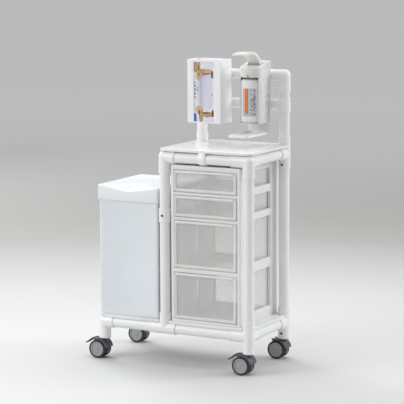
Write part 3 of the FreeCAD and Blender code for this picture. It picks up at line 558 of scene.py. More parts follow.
def wear_group():
    """Mask of worn edges, broken up by noise, and of painted shade in concave creases and corners.
    """
    group, net, given, leave = shader_group(
        "EdgeWear", (("Sharpness", 14.0), ("Amount", 1.0)), ("Edge", "Crevice"))
    pointy = net.add("NewGeometry").outputs["Pointiness"]
    spots = net.noise(60.0, 4.0, None, 0.7)
    # the second mask is painted shade, strongest where the surface is concave
    for label, value in (("Edge", net.math("SUBTRACT", pointy, 0.53)),
                         ("Crevice", net.math("SUBTRACT", 0.47, pointy))):
        sharp = net.math("MULTIPLY", value, given["Sharpness"], True)
        broken = net.math("MULTIPLY", sharp, spots)
        net.link(net.math("MULTIPLY", broken, given["Amount"], True), leave[label])
    return group


def flute_group():
    """Fine upright flutes of a translucent moulding, with a slow sideways drift."""
    group, net, given, leave = shader_group("UprightFlutes", (("Pitch", 700.0),), ("Flute", "Band"))
    x, y, _ = net.xyz()
    join = net.add("CombineXYZ")
    net.link(net.math("ADD", x, y), join.inputs["X"])
    for label, scale, detail in (("Flute", given["Pitch"], 1.0), ("Band", 45.0, 3.0)):
        net.link(net.noise(scale, detail, join.outputs[0], 0.6), leave[label])
    return group


# Materials

def scaled(colour, factor):
    return tuple(min(1.0, c * factor) for c in colour[:3])


def moulded(name, colour, roughness=0.35, spread=0.08, tone=0.03, grain=(900.0, 0.00004),
            wave=(9.0, 0.0002), wear=0.35, worn=None, specular=0.5, coat=0.0, metallic=0.0):
    """Plastic, paint or metal finish with grain, waviness, tone variation, worn edges and painted
    shade in creases.

    Grain and wave are each a noise scale and a height."""
    material = bpy.data.materials.new(name)
    material.use_nodes = True
    net = Net(material.node_tree)
    surface, rubbed_and_shaded = net.group("surface"), net.group("wear")
    surface.inputs["Grain Scale"].default_value = grain[0]
    surface.inputs["Wave Scale"].default_value = wave[0]
    rubbed_and_shaded.inputs["Amount"].default_value = wear
    base = net.ramp(surface.outputs["Tone"],
                    ((0.3, scaled(colour, 1 - tone)), (0.7, scaled(colour, 1 + tone / 2))))
    base = net.mix(rubbed_and_shaded.outputs["Edge"], base, worn or scaled(colour, 1.08))
    # painted shade: the colour darkened to 0.72 in concave creases and corners
    base = net.mix(rubbed_and_shaded.outputs["Crevice"], base, scaled(colour, 0.72))
    rough = net.ramp(surface.outputs["Gloss"],
                     ((0.3, (roughness - spread,) * 3), (0.7, (roughness + spread,) * 3)))
    wavy = net.bump(surface.outputs["Wave"], wave[1], 0.6)
    fine = net.bump(surface.outputs["Grain"], grain[1], 0.7, wavy)
    for label, value in (("Base Color", base), ("Roughness", rough), ("Normal", fine),
                         ("Specular IOR Level", specular), ("Coat Weight", coat),
                         ("Coat Roughness", 0.08), ("Metallic", metallic)):
        net.feed(net.shader.inputs[label], value)
    return material


def translucent(name, colour, alpha):
    """Milky translucent plastic: fluted, denser where it is seen edge on."""
    material = moulded(name, colour, roughness=0.22, spread=0.05, tone=0.02,
                       grain=(1400.0, 0.00003), wave=(14.0, 0.0005), wear=0.2)
    net = Net(material.node_tree)
    flutes = net.group("flutes").outputs
    facing = net.add("LayerWeight")
    facing.inputs["Blend"].default_value = 0.25
    rise = net.math("MULTIPLY", facing.outputs["Facing"], 0.35)
    band = net.math("MULTIPLY", net.math("SUBTRACT", flutes["Band"], 0.5), 0.16)
    total = net.math("ADD", net.math("ADD", rise, band), alpha, True)
    net.link(total, net.shader.inputs["Alpha"])
    normal = net.shader.inputs["Normal"]
    net.link(net.bump(flutes["Flute"], 0.00012, None, normal.links[0].from_socket), normal)
    return material


GROUPS = {}
TREES = {}
FINISHES = {}


def finishes():
    """Build the shared groups, trees and materials once, from the settings."""
    if FINISHES:
        return FINISHES
    GROUPS.update(surface=surface_group(), wear=wear_group(), flutes=flute_group())
    TREES.update(pipe=pipe_tree(), repeat=repeat_tree())
    c = bpy.context.scene.cart_colours
    FINISHES.update(
        pipe=moulded("satin_pipe", c.pipe, 0.34, wave=(22.0, 0.00025), specular=0.45),
        fitting=moulded("gloss_fitting", c.fitting, 0.26, grain=(600.0, 0.00005),
                        wave=(35.0, 0.0004)),
        top=moulded("gloss_sheet", c.top, 0.24, 0.05, wave=(5.0, 0.0003), wear=0.1, coat=0.15),
        board=moulded("satin_board", c.board, 0.45, grain=(700.0, 0.00006)),
        tower=moulded("satin_tower", c.tower, 0.38, grain=(800.0, 0.00006)),
        drawer=translucent("milky_drawer", c.drawer, c.drawer_alpha),
        rim=translucent("milky_rim", c.drawer, c.rim_alpha),
        bin=moulded("satin_bin", c.bin, 0.42, tone=0.04, grain=(650.0, 0.0001),
                    wave=(6.0, 0.0006)),
        lid=moulded("satin_lid", c.lid, 0.33, tone=0.015, grain=(650.0, 0.00006),
                    wave=(5.0, 0.0002), wear=0.02),
        holder=moulded("powder_coat", c.holder, 0.4, grain=(1500.0, 0.00008),
                       wave=(12.0, 0.0002)),
        shell=moulded("gloss_shell", c.shell, 0.3, wave=(20.0, 0.0002), wear=0.06),
        bottle=moulded("satin_bottle", c.bottle, 0.33, wave=(30.0, 0.0006), wear=0.06),
        lever=moulded("ivory_lever", c.lever, 0.3, wave=(25.0, 0.0003)),
        caster=moulded("grey_housing", c.caster, 0.42, 0.12, 0.1, (700.0, 0.00012)),
        hub=moulded("grey_hub", c.hub, 0.4, 0.1, 0.08, (700.0, 0.0001)),
        tread=moulded("soft_tread", c.tread, 0.62, 0.15, 0.25, (500.0, 0.0002), wear=0.8,
                      worn=(0.16, 0.16, 0.17)),
        pedal=moulded("dark_pedal", c.pedal, 0.5, 0.12, 0.2, (600.0, 0.00015),
                      worn=(0.2, 0.2, 0.2)),
        zinc=moulded("zinc_plate", c.zinc, 0.3, 0.12, 0.12, (400.0, 0.00005), metallic=1.0,
                     worn=(0.8, 0.8, 0.8)),
        screw=moulded("dark_screw", c.screw, 0.35, 0.1, 0.2, (500.0, 0.00005),
                      worn=(0.3, 0.3, 0.3)),
        carton=moulded("coated_carton", c.carton, 0.5, tone=0.02, grain=(1200.0, 0.00005),
                       wave=(18.0, 0.0005)),
    )
    return FINISHES


# Settings

def colour_setting(name, description, default):
    return FloatVectorProperty(name=name, description=description, default=default,
                               subtype="COLOR", size=3, min=0.0, max=1.0)


def density_setting(name, description, default):
    return FloatProperty(name=name, description=description, default=default, min=0.0, max=1.0,
                         subtype="FACTOR")


class CartColours(bpy.types.PropertyGroup):
    """Base colours of the cart's finishes."""
    pipe: colour_setting("Pipe", "Extruded frame pipe", (0.87, 0.88, 0.88))
    fitting: colour_setting("Fittings", "Moulded frame fittings", (0.90, 0.905, 0.905))
    top: colour_setting("Tabletop", "Glossy tabletop sheet", (0.90, 0.90, 0.90))
    board: colour_setting("Base board", "Board on the lower rails", (0.87, 0.875, 0.875))
    tower: colour_setting("Drawer tower", "Open frame of the drawer tower", (0.86, 0.855, 0.84))
    drawer: colour_setting("Drawers", "Translucent drawers", (0.96, 0.955, 0.94))
    bin: colour_setting("Bin", "Waste bin", (0.78, 0.82, 0.85))
    lid: colour_setting("Lid", "Lid of the waste bin", (0.86, 0.89, 0.90))
    holder: colour_setting("Holder", "Coated glove holder, back plate and tray", (0.88, 0.88, 0.89))
    shell: colour_setting("Dispenser", "Dispenser hood and pump", (0.74, 0.735, 0.72))
    bottle: colour_setting("Bottle", "Bottle under the hood", (0.78, 0.785, 0.77))
    lever: colour_setting("Lever", "Elbow lever", (0.86, 0.84, 0.80))
    caster: colour_setting("Caster housing", "Housings over the wheels", (0.085, 0.09, 0.095))
    hub: colour_setting("Hubs", "Wheel centres", (0.36, 0.37, 0.38))
    tread: colour_setting("Treads", "Tyres", (0.012, 0.013, 0.017))
    pedal: colour_setting("Pedals", "Brake pedals", (0.03, 0.03, 0.035))
    zinc: colour_setting("Pins", "Pins and caster stems", (0.55, 0.56, 0.58))
    screw: colour_setting("Screws", "Frame screws", (0.05, 0.05, 0.055))
    carton: colour_setting("Carton", "Coated glove carton", (0.78, 0.78, 0.82))
    floor: colour_setting("Floor", "Floor near the cart", (0.66, 0.66, 0.66))
    # painted shade: the floor's grey band stands in for the light falling off away from the cart
    shade_band: colour_setting("Surround", "Grey band round the cart", (0.39, 0.39, 0.377))
    drawer_alpha: density_setting("Drawer density", "How opaque the drawers are face on", 0.27)
    rim_alpha: density_setting("Rim density", "How opaque the drawers' front frames are", 0.62)


def length_setting(name, description, default):
    return FloatProperty(name=name, description=description, default=default, min=0.0,
                         unit="LENGTH", subtype="DISTANCE", precision=4)


class CartSizes(bpy.types.PropertyGroup):
    """Sizes of the details that are shaped here."""
    soft_edge: length_setting("Edge radius", "Rounding of moulded edges", 1.2 * MM)
    pipe_sides: IntProperty(name="Pipe sides", description="Facets round each pipe", default=56,
                            min=12)
    socket_bead: length_setting("Socket bead", "Width of the bead at a fitting's mouth", 5 * MM)
    fitting_cell: length_setting("Fitting cell", "Cell size of the blended fittings", 1.7 * MM)
    drawer_frame: length_setting("Drawer frame", "Width of the frame on a drawer front", 11 * MM)
    bin_margin: length_setting("Bin corner", "Width of the bin's corner bands", 9 * MM)
    lid_dip: length_setting("Lid dip", "Depth of the dip in the lid's front edge", 22 * MM)


def power_setting(name, description, default):
    return FloatProperty(name=name, description=description, default=default, unit="POWER")


class StageSettings(bpy.types.PropertyGroup):
    """Camera and light."""
    lens: FloatProperty(name="Lens", description="Focal length", default=164.33, unit="CAMERA")
    key: power_setting("Key", "Power of the front light", 76.0)
    right: power_setting("Right", "Power of the right light", 100.0)
    left: power_setting("Left", "Power of the left light", 104.0)
    overhead: power_setting("Overhead", "Power of the overhead light", 30.0)
    sun: FloatProperty(name="Even top", description="Strength of the broad light from above",
                       default=0.9)
    sky: FloatProperty(name="Ambient", description="Strength of the even light all round",
                       default=0.46)


# Frame

def pipe_axes():
    """Axis coordinates of the frame: the x, y and z values at which pipes meet."""
    xs = [centre_of(box).x for box in islands("lower_side_rails")]
    ys = [centre_of(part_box(n)).y for n in ("lower_front_rails", "lower_rear_rails")]
    zs = [centre_of(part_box(n)).z for n in ("lower_front_rails", "brace_rail", "top_front_rail",
                                           "lower_crossbar", "upper_crossbar")]
    return xs, ys, zs


def within(values, lo, hi):
    """The one value between two limits."""
    found = [v for v in values if lo < v < hi]
    if len(found) != 1:
        raise RuntimeError(f"{len(found)} pipe axes pass between {lo:.4f} and {hi:.4f}")
    return found[0]


class CART_OT_pipes(bpy.types.Operator):
    """Posts, rails and crossbars as lengths of satin pipe"""
    bl_idname = "cart.pipes"
    bl_label = "Pipes"

    def execute(self, context):
        finish = finishes()["pipe"]
        tree, ids = TREES["pipe"]
        for node in PIPE_NODES:
            ends, edges, radius = [], [], 0.0
            for box in islands(node):
                size = box[1] - box[0]
                axis = max(range(3), key=lambda i: size[i])
                radius = min(size) / 2
                half = AXES[axis] * (size[axis] / 2)
                edges.append((len(ends), len(ends) + 1))
                ends.extend((centre_of(box) - half, centre_of(box) + half))
            mesh = bpy.data.meshes.new(node + "_pipe")
            mesh.from_pydata([tuple(p) for p in ends], edges, [])
            values = {"Radius": radius, "Sides": context.scene.cart_sizes.pipe_sides,
                      "Material": finish}
            obj = run_tree(new_object(node + "_pipe", mesh), tree, ids, values)
            settle(obj, None, node, degrees=50)
        return {"FINISHED"}


class CART_OT_fittings(bpy.types.Operator):
    """Blended corner, tee and elbow fittings with a bead round each socket's mouth"""
    bl_idname = "cart.fittings"
    bl_label = "Fittings"

    def execute(self, context):
        sizes = context.scene.cart_sizes
        axes = pipe_axes()
        pipe_lo, pipe_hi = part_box("front_right_post")
        inner = (pipe_hi.x - pipe_lo.x) / 2 + BEAD_CLEARANCE
        for node in FITTING_NODES:
            body, beads = bmesh.new(), bmesh.new()
            for lo, hi in islands(node):
                middle = Vector([within(axes[i], lo[i], hi[i]) for i in range(3)])
                self.one_fitting(body, beads, lo, hi, middle, inner, sizes.socket_bead)
            obj = from_bmesh(node + "_blend", body)
            remesh = obj.modifiers.new("skin", "REMESH")
            remesh.mode = "VOXEL"
            remesh.voxel_size = sizes.fitting_cell
            smooth = obj.modifiers.new("blend", "SMOOTH")
            smooth.factor = 0.5
            smooth.iterations = 7
            thin = obj.modifiers.new("thin", "DECIMATE")
            thin.ratio = 0.3
            settle(baked(obj), finishes()["fitting"], node, degrees=60)
            finished(node + "_beads", beads, "fitting", part_of=node)
        return {"FINISHED"}

    @staticmethod
    def one_fitting(body, beads, lo, hi, middle, inner, bead):
        """Junction ball and an arm towards each side that reaches past it."""
        ball = [math.pi * i / BALL_RINGS for i in range(BALL_RINGS + 1)]
        ball_r = ARM_R * 1.02
        turned(body, [(ball_r * math.sin(t), -ball_r * math.cos(t)) for t in ball],
               middle, AXES[2])
        for i in range(3):
            for sign, reach in ((1, hi[i] - middle[i]), (-1, middle[i] - lo[i])):
                if reach < SHORTEST_ARM:
                    continue
                axis, mouth = AXES[i] * sign, reach - ARM_SETBACK
                turned(body, [(0, -4 * MM), (ARM_R, -4 * MM), (ARM_R, mouth), (0, mouth)],
                       middle, axis)
                back = reach - bead
                profile = [(inner, back), *shifted(BEAD_R, back, ((-0.5, 0), (0, 0.6))),
                           *shifted(BEAD_R, reach, ((0, -0.7), (-0.7, 0))),
                           *shifted(inner, reach, ((0.5, 0), (0, -0.6))), (inner, back)]
                turned(beads, profile, middle, axis, 56)


class CART_OT_screws(bpy.types.Operator):
    """Pan-head screws with a hexagonal recess, in the fittings"""
    bl_idname = "cart.screws"
    bl_label = "Screws"

    def execute(self, context):
        boxes = islands("frame_screws")
        size = boxes[0][1] - boxes[0][0]
        head_r, head, shank_r = size.x / 2, 2.5 * MM, 2.0 * MM
        profile = [(shank_r, -7.6 * MM), (shank_r, 0.0), (head_r, 0.0), (head_r, 0.8 * MM),
                   (head_r * 0.93, 1.6 * MM), (head_r * 0.75, 2.2 * MM), (head_r * 0.5, head)]
        rings = [[self.spoke(t, r, h) for t in self.angles()] for r, h in profile]
        for depth in (head, 0.9 * MM):
            rings.append([self.spoke(t, self.hexagon(t, head_r * 0.4), depth)
                          for t in self.angles()])
        bm = bmesh.new()
        loft(bm, rings)
        template = from_bmesh("screw_template", bm)
        points = [Vector((centre_of(b).x, b[0].y + head, centre_of(b).z)) for b in boxes]
        turns = [(math.pi / 2, 0.0, 0.0)] * len(points)
        obj = repeated("screw_heads", template, points, turns, finishes()["screw"])
        settle(obj, None, "frame_screws")
        return {"FINISHED"}

    @staticmethod
    def angles():
        return [2 * math.pi * i / 24 for i in range(24)]

    @staticmethod
    def spoke(angle, radius, height):
        return Vector((radius * math.cos(angle), radius * math.sin(angle), height))

    @staticmethod
    def hexagon(angle, across):
        """Distance from the middle of a hexagon to its side."""
        return across / math.cos((angle + math.pi / 6) % (math.pi / 3) - math.pi / 6)


# Boards and tower

class CART_OT_boards(bpy.types.Operator):
    """Tabletop, its saddle clips, and the base board"""
    bl_idname = "cart.boards"
    bl_label = "Boards"

    def execute(self, context):
        edge = context.scene.cart_sizes.soft_edge
        rounded("tabletop_sheet", "tabletop", "top", edge * 1.6, 3)
        rounded("tabletop_saddles", "tabletop_clips", "fitting", edge * 0.7)
        rounded("base_sheet", "base_board", "board", edge)
        return {"FINISHED"}


class CART_OT_tower(bpy.types.Operator):
    """Open frame of the drawer tower, with its runners"""
    bl_idname = "cart.tower"
    bl_label = "Drawer tower"

    def execute(self, context):
        edge = context.scene.cart_sizes.soft_edge
        rounded("tower_shell", "cabinet", "tower", edge * 1.5, 3)
        rounded("tower_runners", "drawer_runners", "tower", edge * 0.5)
        return {"FINISHED"}


class CART_OT_drawers(bpy.types.Operator):
    """Translucent drawers with a raised frame round a recessed front and a rolled pull"""
    bl_idname = "cart.drawers"
    bl_label = "Drawers"

    def execute(self, context):
        for node in DRAWERS:
            tub, rim = bmesh.new(), bmesh.new()
            lo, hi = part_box(node)
            self.tub(tub, lo, hi)
            finished(node + "_tub", tub, "drawer", node, degrees=40)
            self.front(rim, lo, hi, context.scene.cart_sizes.drawer_frame / MM)
            finished(node + "_rim", rim, "rim", part_of=node)
        return {"FINISHED"}

    @staticmethod
    def tub(bm, lo, hi):
        """Open tub with rounded bottom edges and a rolled rim; insets and heights in mm."""
        rect = (lo.x, lo.y + PULL_DEPTH, hi.x, hi.y)
        rings = []
        for inset, base, rise in ((5, lo.z, 0), (2, lo.z, 0.9), (1.2, lo.z, 5), (0.6, hi.z, -9),
                                  (0.6, hi.z, -6), (0, hi.z, -5), (0, hi.z, -0.8), (0.8, hi.z, 0),
                                  (1.8, hi.z, 0), (2.2, hi.z, -0.6), (3.0, lo.z, 7),
                                  (7.2, lo.z, 2.6)):
            rings.append(level(outline(rect, 8 * MM, inset * MM), base + rise * MM))
        loft(bm, rings)

    @staticmethod
    def front(bm, lo, hi, width):
        """Raised frame, inner panel and pull on the front wall; width and steps in mm."""
        y = lo.y + PULL_DEPTH
        face = (lo.x + 2 * MM, lo.z + 3 * MM, hi.x - 2 * MM, hi.z - 1.5 * MM)
        loops = []
        for inset, depth in ((0, 0.5), (0, -1.6), (1.2, -2.6), (width - 1.5, -2.6),
                             (width, -1.6), (width + 0.6, 0.4)):
            ring = outline(face, 5 * MM, inset * MM, steps=4)
            loops.append([Vector((p[0], y + depth * MM, p[1])) for p in ring])
        loft(bm, loops, False, False)
        pull = shifted(y, hi.z, ((0, -1.5), (-6.2, -1.5), (-8.2, -2.4), (-9.0, -4.2), (-8.6, -8.5),
                                 (-7.4, -8.5), (-7.0, -4.6), (-6.2, -3.9), (0, -3.9)))
        prism(bm, pull, lo.x + 14.5 * MM, hi.x - 14.5 * MM)


# Waste bin

class CART_OT_bin(bpy.types.Operator):
    """Waste bin with panelled sides, and its hinge ears"""
    bl_idname = "cart.bin"
    bl_label = "Bin"

    def execute(self, context):
        margin = context.scene.cart_sizes.bin_margin
        lo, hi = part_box("bin_body")
        pins = islands("lid_pins")
        pivot = centre_of(pins[0])
        rear = pivot.y - HINGE_REACH
        rect = (lo.x, lo.y, hi.x, rear)
        bm = bmesh.new()
        rings = []
        for inset, recess, base, rise in (
                (6, 0, lo.z, 0), (2.2, 0, lo.z, 1), (0.9, 0, lo.z, 5), (0.9, 0, lo.z, 17),
                (0.9, 1.1, lo.z, 20), (0, 1.1, hi.z, -42), (0, 0, hi.z, -38), (0, 0, hi.z, -1),
                (0.8, 0, hi.z, 0), (1.9, 0, hi.z, 0), (2.5, 0, hi.z, -1), (3.4, 0, lo.z, 9),
                (9, 0, lo.z, 3)):
            points = outline(rect, BIN_CORNER_R, inset * MM, recess * MM, margin)
            rings.append(level(points, base + rise * MM))
        loft(bm, rings)
        for box in pins:
            for x in (box[0].x, box[1].x - EAR_WIDTH):
                self.ear(bm, x, rear - BIN_WALL / 2, pivot)
        finished("bin_shell", bm, "bin", "bin_body")
        rounded("hinge_pins", "lid_pins", "zinc", 0.4 * MM)
        return {"FINISHED"}

    @staticmethod
    def ear(bm, x, y, pivot):
        """Rounded ear round the hinge pin."""
        points = [(y, pivot.z - 22 * MM), (pivot.y + 3.6 * MM, pivot.z - 5 * MM)]
        points += [(pivot.y + EAR_R * math.cos(t), pivot.z + EAR_R * math.sin(t))
                   for t in (math.pi / 2 * i / 5 for i in range(6))]
        points.append((y, pivot.z + 4 * MM))
        prism(bm, points, x, x + EAR_WIDTH)


class CART_OT_lid(bpy.types.Operator):
    """Bin lid with a deep skirt, a soft finger dip at the front and hinge knuckles"""
    bl_idname = "cart.lid"
    bl_label = "Lid"

    def execute(self, context):
        dip = context.scene.cart_sizes.lid_dip
        lo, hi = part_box("bin_lid")
        pins = islands("lid_pins")
        pivot = centre_of(pins[0])
        rect = (lo.x, lo.y, hi.x, pivot.y - HINGE_REACH + 4.0 * MM)
        skirt = lo.z + 10.5 * MM
        flat = [k * LID_RING_STEP for k in range(1, LID_RINGS + 1)]
        rings = [self.top_ring(rect, hi.z, dip, inset, 0.0) for inset in reversed(flat)]
        for inset, drop in ((3.0, 0.0), (1.4, 0.45), (0.4, 1.5), (0.0, 3.2)):
            rings.append(self.top_ring(rect, hi.z, dip, inset * MM, drop * MM))
        for inset, rise in ((0.0, 1 * MM), (0.6 * MM, 0.0), (BIN_WALL - 0.4 * MM, 0.0)):
            points = outline(rect, BIN_CORNER_R, inset, sides=LID_SIDE_STEPS)
            rings.append(level(points, skirt + rise))
        rings.append(self.top_ring(rect, hi.z - BIN_WALL, dip, BIN_WALL, 2.5 * MM))
        for inset in flat:
            rings.append(self.top_ring(rect, hi.z - BIN_WALL * 1.3, dip, inset, 0.0))
        bm = bmesh.new()
        loft(bm, rings)
        for box in pins:
            start, end = box[0].x + 5.4 * MM, box[1].x - 5.4 * MM
            profile = [(0, 0), (4.4 * MM, 0), (5 * MM, 0.6 * MM),
                       *shifted(0, end - start, ((5, -0.6), (4.4, 0), (0, 0)))]
            turned(bm, profile, (start, pivot.y, pivot.z), AXES[0], 32)
            bar(bm, (start, rect[3] - 1.5 * MM, pivot.z),
                (end, pivot.y + 5 * MM, skirt + 12 * MM), 0.8 * MM)
        finished("lid_shell", bm, "lid", "bin_lid", degrees=40)
        return {"FINISHED"}

    @staticmethod
    def drop_at(p, rect, dip):
        """How far the top lies below its flat level at a point."""
        half = (rect[2] - rect[0]) / 2
        across = abs(p[0] - (rect[0] + half)) / half
        t = 1 - across - (p[1] - rect[1]) / DIP_REACH
        return dip * (t + math.hypot(t, DIP_SOFTNESS)) / 2 if t > -0.3 else 0.0

    @classmethod
    def top_ring(cls, rect, z, dip, inset, drop):
        points = outline(rect, BIN_CORNER_R, inset, sides=LID_SIDE_STEPS)
        return [Vector((p[0], p[1], z - drop - cls.drop_at(p, rect, dip))) for p in points]


# Accessories

class CART_OT_holder(bpy.types.Operator):
    """Glove holder, its carton with a plain printed pattern, and the spring clips"""
    bl_idname = "cart.holder"
    bl_label = "Glove holder"

    def execute(self, context):
        edge = context.scene.cart_sizes.soft_edge
        rounded("holder_sheet", "glove_holder", "holder", edge * 0.8)
        rounded("holder_clips", "bar_clips", "fitting", edge * 0.6)
        self.print_carton(finishes()["carton"])
        rounded("carton_box", "glove_carton", "carton", edge * 0.4)
        return {"FINISHED"}

    @staticmethod
    def print_carton(material):
        """Plain blocks and blots of colour on the front of the carton."""
        lo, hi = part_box("glove_carton")
        net = Net(material.node_tree)
        x, y, z = net.xyz()
        front = net.math("LESS_THAN", y, lo.y + 2.6 * MM)
        middle = centre_of((lo, hi))
        for across, up, half_x, half_z, power, ragged, colour in CARTON_PRINTS:
            mask = net.patch(x, z, (middle.x + across * MM, middle.z + up * MM),
                             (half_x * MM, half_z * MM), power, ragged)
            net.paint(colour, mask, front)
        dashes = net.math("FRACT", net.math("MULTIPLY", z, 1 / DASH_PITCH))
        dashes = net.math("GREATER_THAN", dashes, 0.35)
        strip = net.patch(x, z, (middle.x - 41.5 * MM, middle.z + 6 * MM), (2.5 * MM, 34 * MM), 8.0)
        net.paint((0.28, 0.05, 0.05), strip, dashes, front)


class CART_OT_dispenser(bpy.types.Operator):
    """Back plate, hood, pin and drip tray of the dispenser"""
    bl_idname = "cart.dispenser"
    bl_label = "Dispenser"

    def execute(self, context):
        edge = context.scene.cart_sizes.soft_edge
        rounded("back_plate", "dispenser_plate", "holder", edge)
        rounded("hood_shell", "dispenser_hood", "shell", edge * 0.7, 3, 40, 45)
        rounded("drip_dish", "drip_tray", "holder", edge * 0.7, 3)
        keep_node("lever_pin", finishes()["zinc"])
        return {"FINISHED"}


class CART_OT_bottle(bpy.types.Operator):
    """Bottle with a plain colour label, the pump and its plunger"""
    bl_idname = "cart.bottle"
    bl_label = "Bottle and pump"

    def execute(self, context):
        lo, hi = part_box("bottle")
        rect = (lo.x, lo.y, hi.x, hi.y)
        top = hi.z - BOTTLE_NECK + 1.8 * MM
        axis = centre_of(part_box("pump_plunger"))
        rings = []
        for inset, z in (*shifted(0, lo.z, ((9, 1.5), (6, 0.0), (2.2, 1.6), (0.6, 6), (0, 12))),
                         *shifted(0, top, ((0, -14), (1.0, -7), (4, -2.2), (10, 0)))):
            rings.append(level(outline(rect, BOTTLE_CORNER_R, inset, steps=10), z))
        for radius, z in ((14 * MM, top), (12 * MM, top + 1.2 * MM), (12 * MM, hi.z),
                          (10 * MM, hi.z)):
            rings.append(self.circle_like(rings[0], rect, axis, radius, z))
        bm = bmesh.new()
        loft(bm, rings)
        self.label(finishes()["bottle"], lo, hi)
        finished("bottle_blow_moulding", bm, "bottle", "bottle", degrees=50)
        rounded("pump_shell", "pump_body", "shell", 0.6 * MM, 2, 40, 45)
        rounded("plunger_stem", "pump_plunger", "shell", 0.5 * MM)
        return {"FINISHED"}

    @staticmethod
    def circle_like(ring, rect, axis, radius, z):
        """Circle with its points in the same directions as a rounded rectangle's."""
        cx, cy = (rect[0] + rect[2]) / 2, (rect[1] + rect[3]) / 2
        points = []
        for p in ring:
            away = Vector((p.x - cx, p.y - cy)).normalized() * radius
            points.append(Vector((axis.x + away.x, axis.y + away.y, z)))
        return points

    @staticmethod
    def label(material, lo, hi):
        """Upright stripes and fine specks on the front of the bottle."""
        net = Net(material.node_tree)
        x, y, z = net.xyz()
        mid_x, mid_z = (lo.x + hi.x) / 2, lo.z + 83 * MM
        front = net.math("LESS_THAN", y, lo.y + 55 * MM)

        def block(across, up, half_x, half_z):
            return net.patch(x, z, (mid_x + across * MM, mid_z + up * MM),
                             (half_x * MM, half_z * MM), 14.0)

        stripe = (-6, 4, 8, 50)
        for place, colour in (((4, 0, 28.5, 56), (0.46, 0.51, 0.53)),
                              (stripe, (0.80, 0.20, 0.04)),
                              ((5.5, 0, 1.8, 49), (0.45, 0.66, 0.74))):
            net.paint(colour, block(*place), front)
        area = block(19.5, 0, 10.5, 49)
        net.paint((0.66, 0.70, 0.71), area, front)
        grain = net.noise(240.0, 2.0)
        net.paint((0.07, 0.08, 0.10), area, net.math("GREATER_THAN", grain, 0.53), front)
        flecks = net.math("LESS_THAN", grain, 0.40)
        net.paint((0.30, 0.12, 0.06), block(*stripe), flecks, front)


class CART_OT_lever(bpy.types.Operator):
    """Arched elbow lever"""
    bl_idname = "cart.lever"
    bl_label = "Elbow lever"

    def execute(self, context):
        rounded("elbow_lever", "dispenser_lever", "lever", 1.8 * MM, 3, 40, 45)
        return {"FINISHED"}


# Casters

class CART_OT_casters(bpy.types.Operator):
    """Twin-wheel casters: stems, housings, hubs, treads and brake pedals"""
    bl_idname = "cart.casters"
    bl_label = "Casters"

    def execute(self, context):
        edge = context.scene.cart_sizes.soft_edge
        rounded("caster_plugs", "caster_stems", "zinc", edge * 0.6)
        for leg in LEGS:
            rounded(leg + "_housing", leg + "_caster_fork", "caster", edge * 0.8)
            self.wheels(leg)
            if leg + "_brake_pedal" in frame["nodes"]:
                rounded(leg + "_pedal", leg + "_brake_pedal", "pedal", edge * 0.7)
        return {"FINISHED"}

    @staticmethod
    def wheels(leg):
        """Hub discs with a raised ring and a cap, and rounded treads with two fine grooves."""
        lo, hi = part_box(leg + "_wheel_treads")
        centre = (lo + hi) / 2
        radius, outer, inner = (hi.z - lo.z) / 2, hi.y - centre.y, 9.5 * MM
        hub_lo, hub_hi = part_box(leg + "_wheel_hubs")
        rim, face = (hub_hi.z - hub_lo.z) / 2, outer - 1.5 * MM
        hub = [*shifted(0, 0, ((0, -1), (5, -1))), (5 * MM, inner), (rim, inner),
               *shifted(rim, face, ((0, 0), (-0.8, 0.7), (-4.6, 0.7), (-5.6, -0.2), (-6.2, -2.2),
                                    (-7.4, -2.6))),
               *shifted(0, face, ((9.5, -1.6), (8.6, -1.4), (8.2, -0.2), (7.4, 0.3), (3.5, 0.6),
                                  (3.0, -0.4), (0, -0.4)))]
        seat = (rim + 0.05 * MM, inner)
        tread = [seat,
                 *shifted(radius, inner, ((-3, 0), (-0.9, 0.9), (0, 3), (0, 6), (-0.6, 6.4),
                                          (0, 6.8))),
                 *shifted(radius, outer, ((0, -6.8), (-0.6, -6.4), (0, -6), (0, -3.2),
                                          (-0.9, -1.0), (-3, 0))),
                 *shifted(rim, outer, ((1.2, 0), (0.05, -0.9))), seat]
        hubs, treads = bmesh.new(), bmesh.new()
        for side in (-1, 1):
            turned(hubs, hub, centre, AXES[1] * side, 64)
            turned(treads, tread, centre, AXES[1] * side, 72)
        finished(leg + "_hub_discs", hubs, "hub", leg + "_wheel_hubs", degrees=30)
        finished(leg + "_tyres", treads, "tread", leg + "_wheel_treads")


# Stage

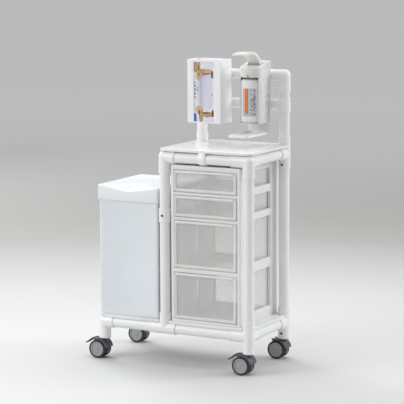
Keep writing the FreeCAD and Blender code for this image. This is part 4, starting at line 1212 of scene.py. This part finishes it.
class CART_OT_stage(bpy.types.Operator):
    """Pale floor, soft lights and the camera"""
    bl_idname = "cart.stage"
    bl_label = "Stage"

    def execute(self, context):
        scene = context.scene
        settings = scene.cart_stage
        scene.view_settings.view_transform = "Standard"
        self.floor(scene.cart_colours)
        self.sky(scene, settings.sky)
        for name, place, size in AREA_LIGHTS:
            light = bpy.data.lights.new(name, "AREA")
            light.size = size
            light.energy = getattr(settings, name)
            obj = new_object(name, light)
            obj.location = place
            obj.rotation_euler = (Vector(place) - LIGHT_TARGET).to_track_quat("Z", "Y").to_euler()
            obj.visible_camera = False
        sun = bpy.data.lights.new("even_top", "SUN")
        sun.energy = settings.sun
        sun.angle = math.radians(70)
        new_object("even_top", sun).rotation_euler = (math.radians(-12), math.radians(-14), 0)
        camera = bpy.data.cameras.new("camera")
        camera.sensor_width = 36.0
        camera.lens = settings.lens
        back = CAMERA_RIGHT.cross(CAMERA_UP).normalized()
        turn = Matrix((CAMERA_RIGHT, CAMERA_UP, back)).transposed().to_4x4()
        scene.camera = new_object("camera", camera)
        scene.camera.matrix_world = Matrix.Translation(CAMERA_PLACE) @ turn
        return {"FINISHED"}

    @staticmethod
    def floor(colours):
        """Round floor, pale near the cart, with a grey band of painted shade about four metres out,
        standing in for the light falling off away from the cart.
        """
        bm = bmesh.new()
        turned(bm, [(r, 0) for r in (0, 1.0, 3.0, 8.0, 80.0)], (0, 0, 0), AXES[2], 96)
        for v in bm.verts:
            v.co.z = FLOOR_Z
        floor = from_bmesh("floor", bm)
        material = moulded("studio_floor", colours.floor, 0.6, 0.05, 0.004, wear=0.0)
        net = Net(material.node_tree)
        length = net.add("VectorMath")
        length.operation = "LENGTH"
        net.link(net.coords(), length.inputs[0])
        away = net.math("DIVIDE", length.outputs["Value"], FLOOR_REACH, True)
        # painted shade: the grey band darkens the floor where the light would fall off
        net.paint(colours.shade_band, net.ramp(away, [(at, (v,) * 3) for at, v in FLOOR_SHADE_BAND]))
        floor.data.materials.append(material)
        if floor.data.polygons[0].normal.z < 0:
            floor.data.flip_normals()

    @staticmethod
    def sky(scene, strength):
        world = bpy.data.worlds.new("even_light")
        world.use_nodes = True
        background = world.node_tree.nodes["Background"]
        background.inputs["Color"].default_value = (0.97, 0.98, 1.0, 1)
        background.inputs["Strength"].default_value = strength
        scene.world = world


class CART_PT_panel(bpy.types.Panel):
    """Lists the cart's operators and settings"""
    bl_label = "Medication Cart"
    bl_idname = "CART_PT_panel"
    bl_space_type = "VIEW_3D"
    bl_region_type = "UI"
    bl_category = "Cart"

    def draw(self, context):
        for operator in OPERATORS:
            self.layout.operator(operator.bl_idname)
        for group in ("cart_sizes", "cart_colours", "cart_stage"):
            box = self.layout.box()
            settings = getattr(context.scene, group)
            for name in settings.__annotations__:
                box.prop(settings, name)


OPERATORS = (CART_OT_pipes, CART_OT_fittings, CART_OT_screws, CART_OT_boards, CART_OT_tower,
             CART_OT_drawers, CART_OT_bin, CART_OT_lid, CART_OT_holder, CART_OT_dispenser,
             CART_OT_bottle, CART_OT_lever, CART_OT_casters, CART_OT_stage)
SETTINGS = {"cart_colours": CartColours, "cart_sizes": CartSizes, "cart_stage": StageSettings}


def register():
    for cls in (*SETTINGS.values(), *OPERATORS, CART_PT_panel):
        bpy.utils.register_class(cls)
    for name, cls in SETTINGS.items():
        setattr(bpy.types.Scene, name, PointerProperty(type=cls))


def unregister():
    for name in SETTINGS:
        delattr(bpy.types.Scene, name)
    for cls in (CART_PT_panel, *reversed(OPERATORS), *SETTINGS.values()):
        bpy.utils.unregister_class(cls)


def main():
    register()
    for operator in OPERATORS:
        group, name = operator.bl_idname.split(".")
        getattr(getattr(bpy.ops, group), name)()


if __name__ == "__main__":
    main()
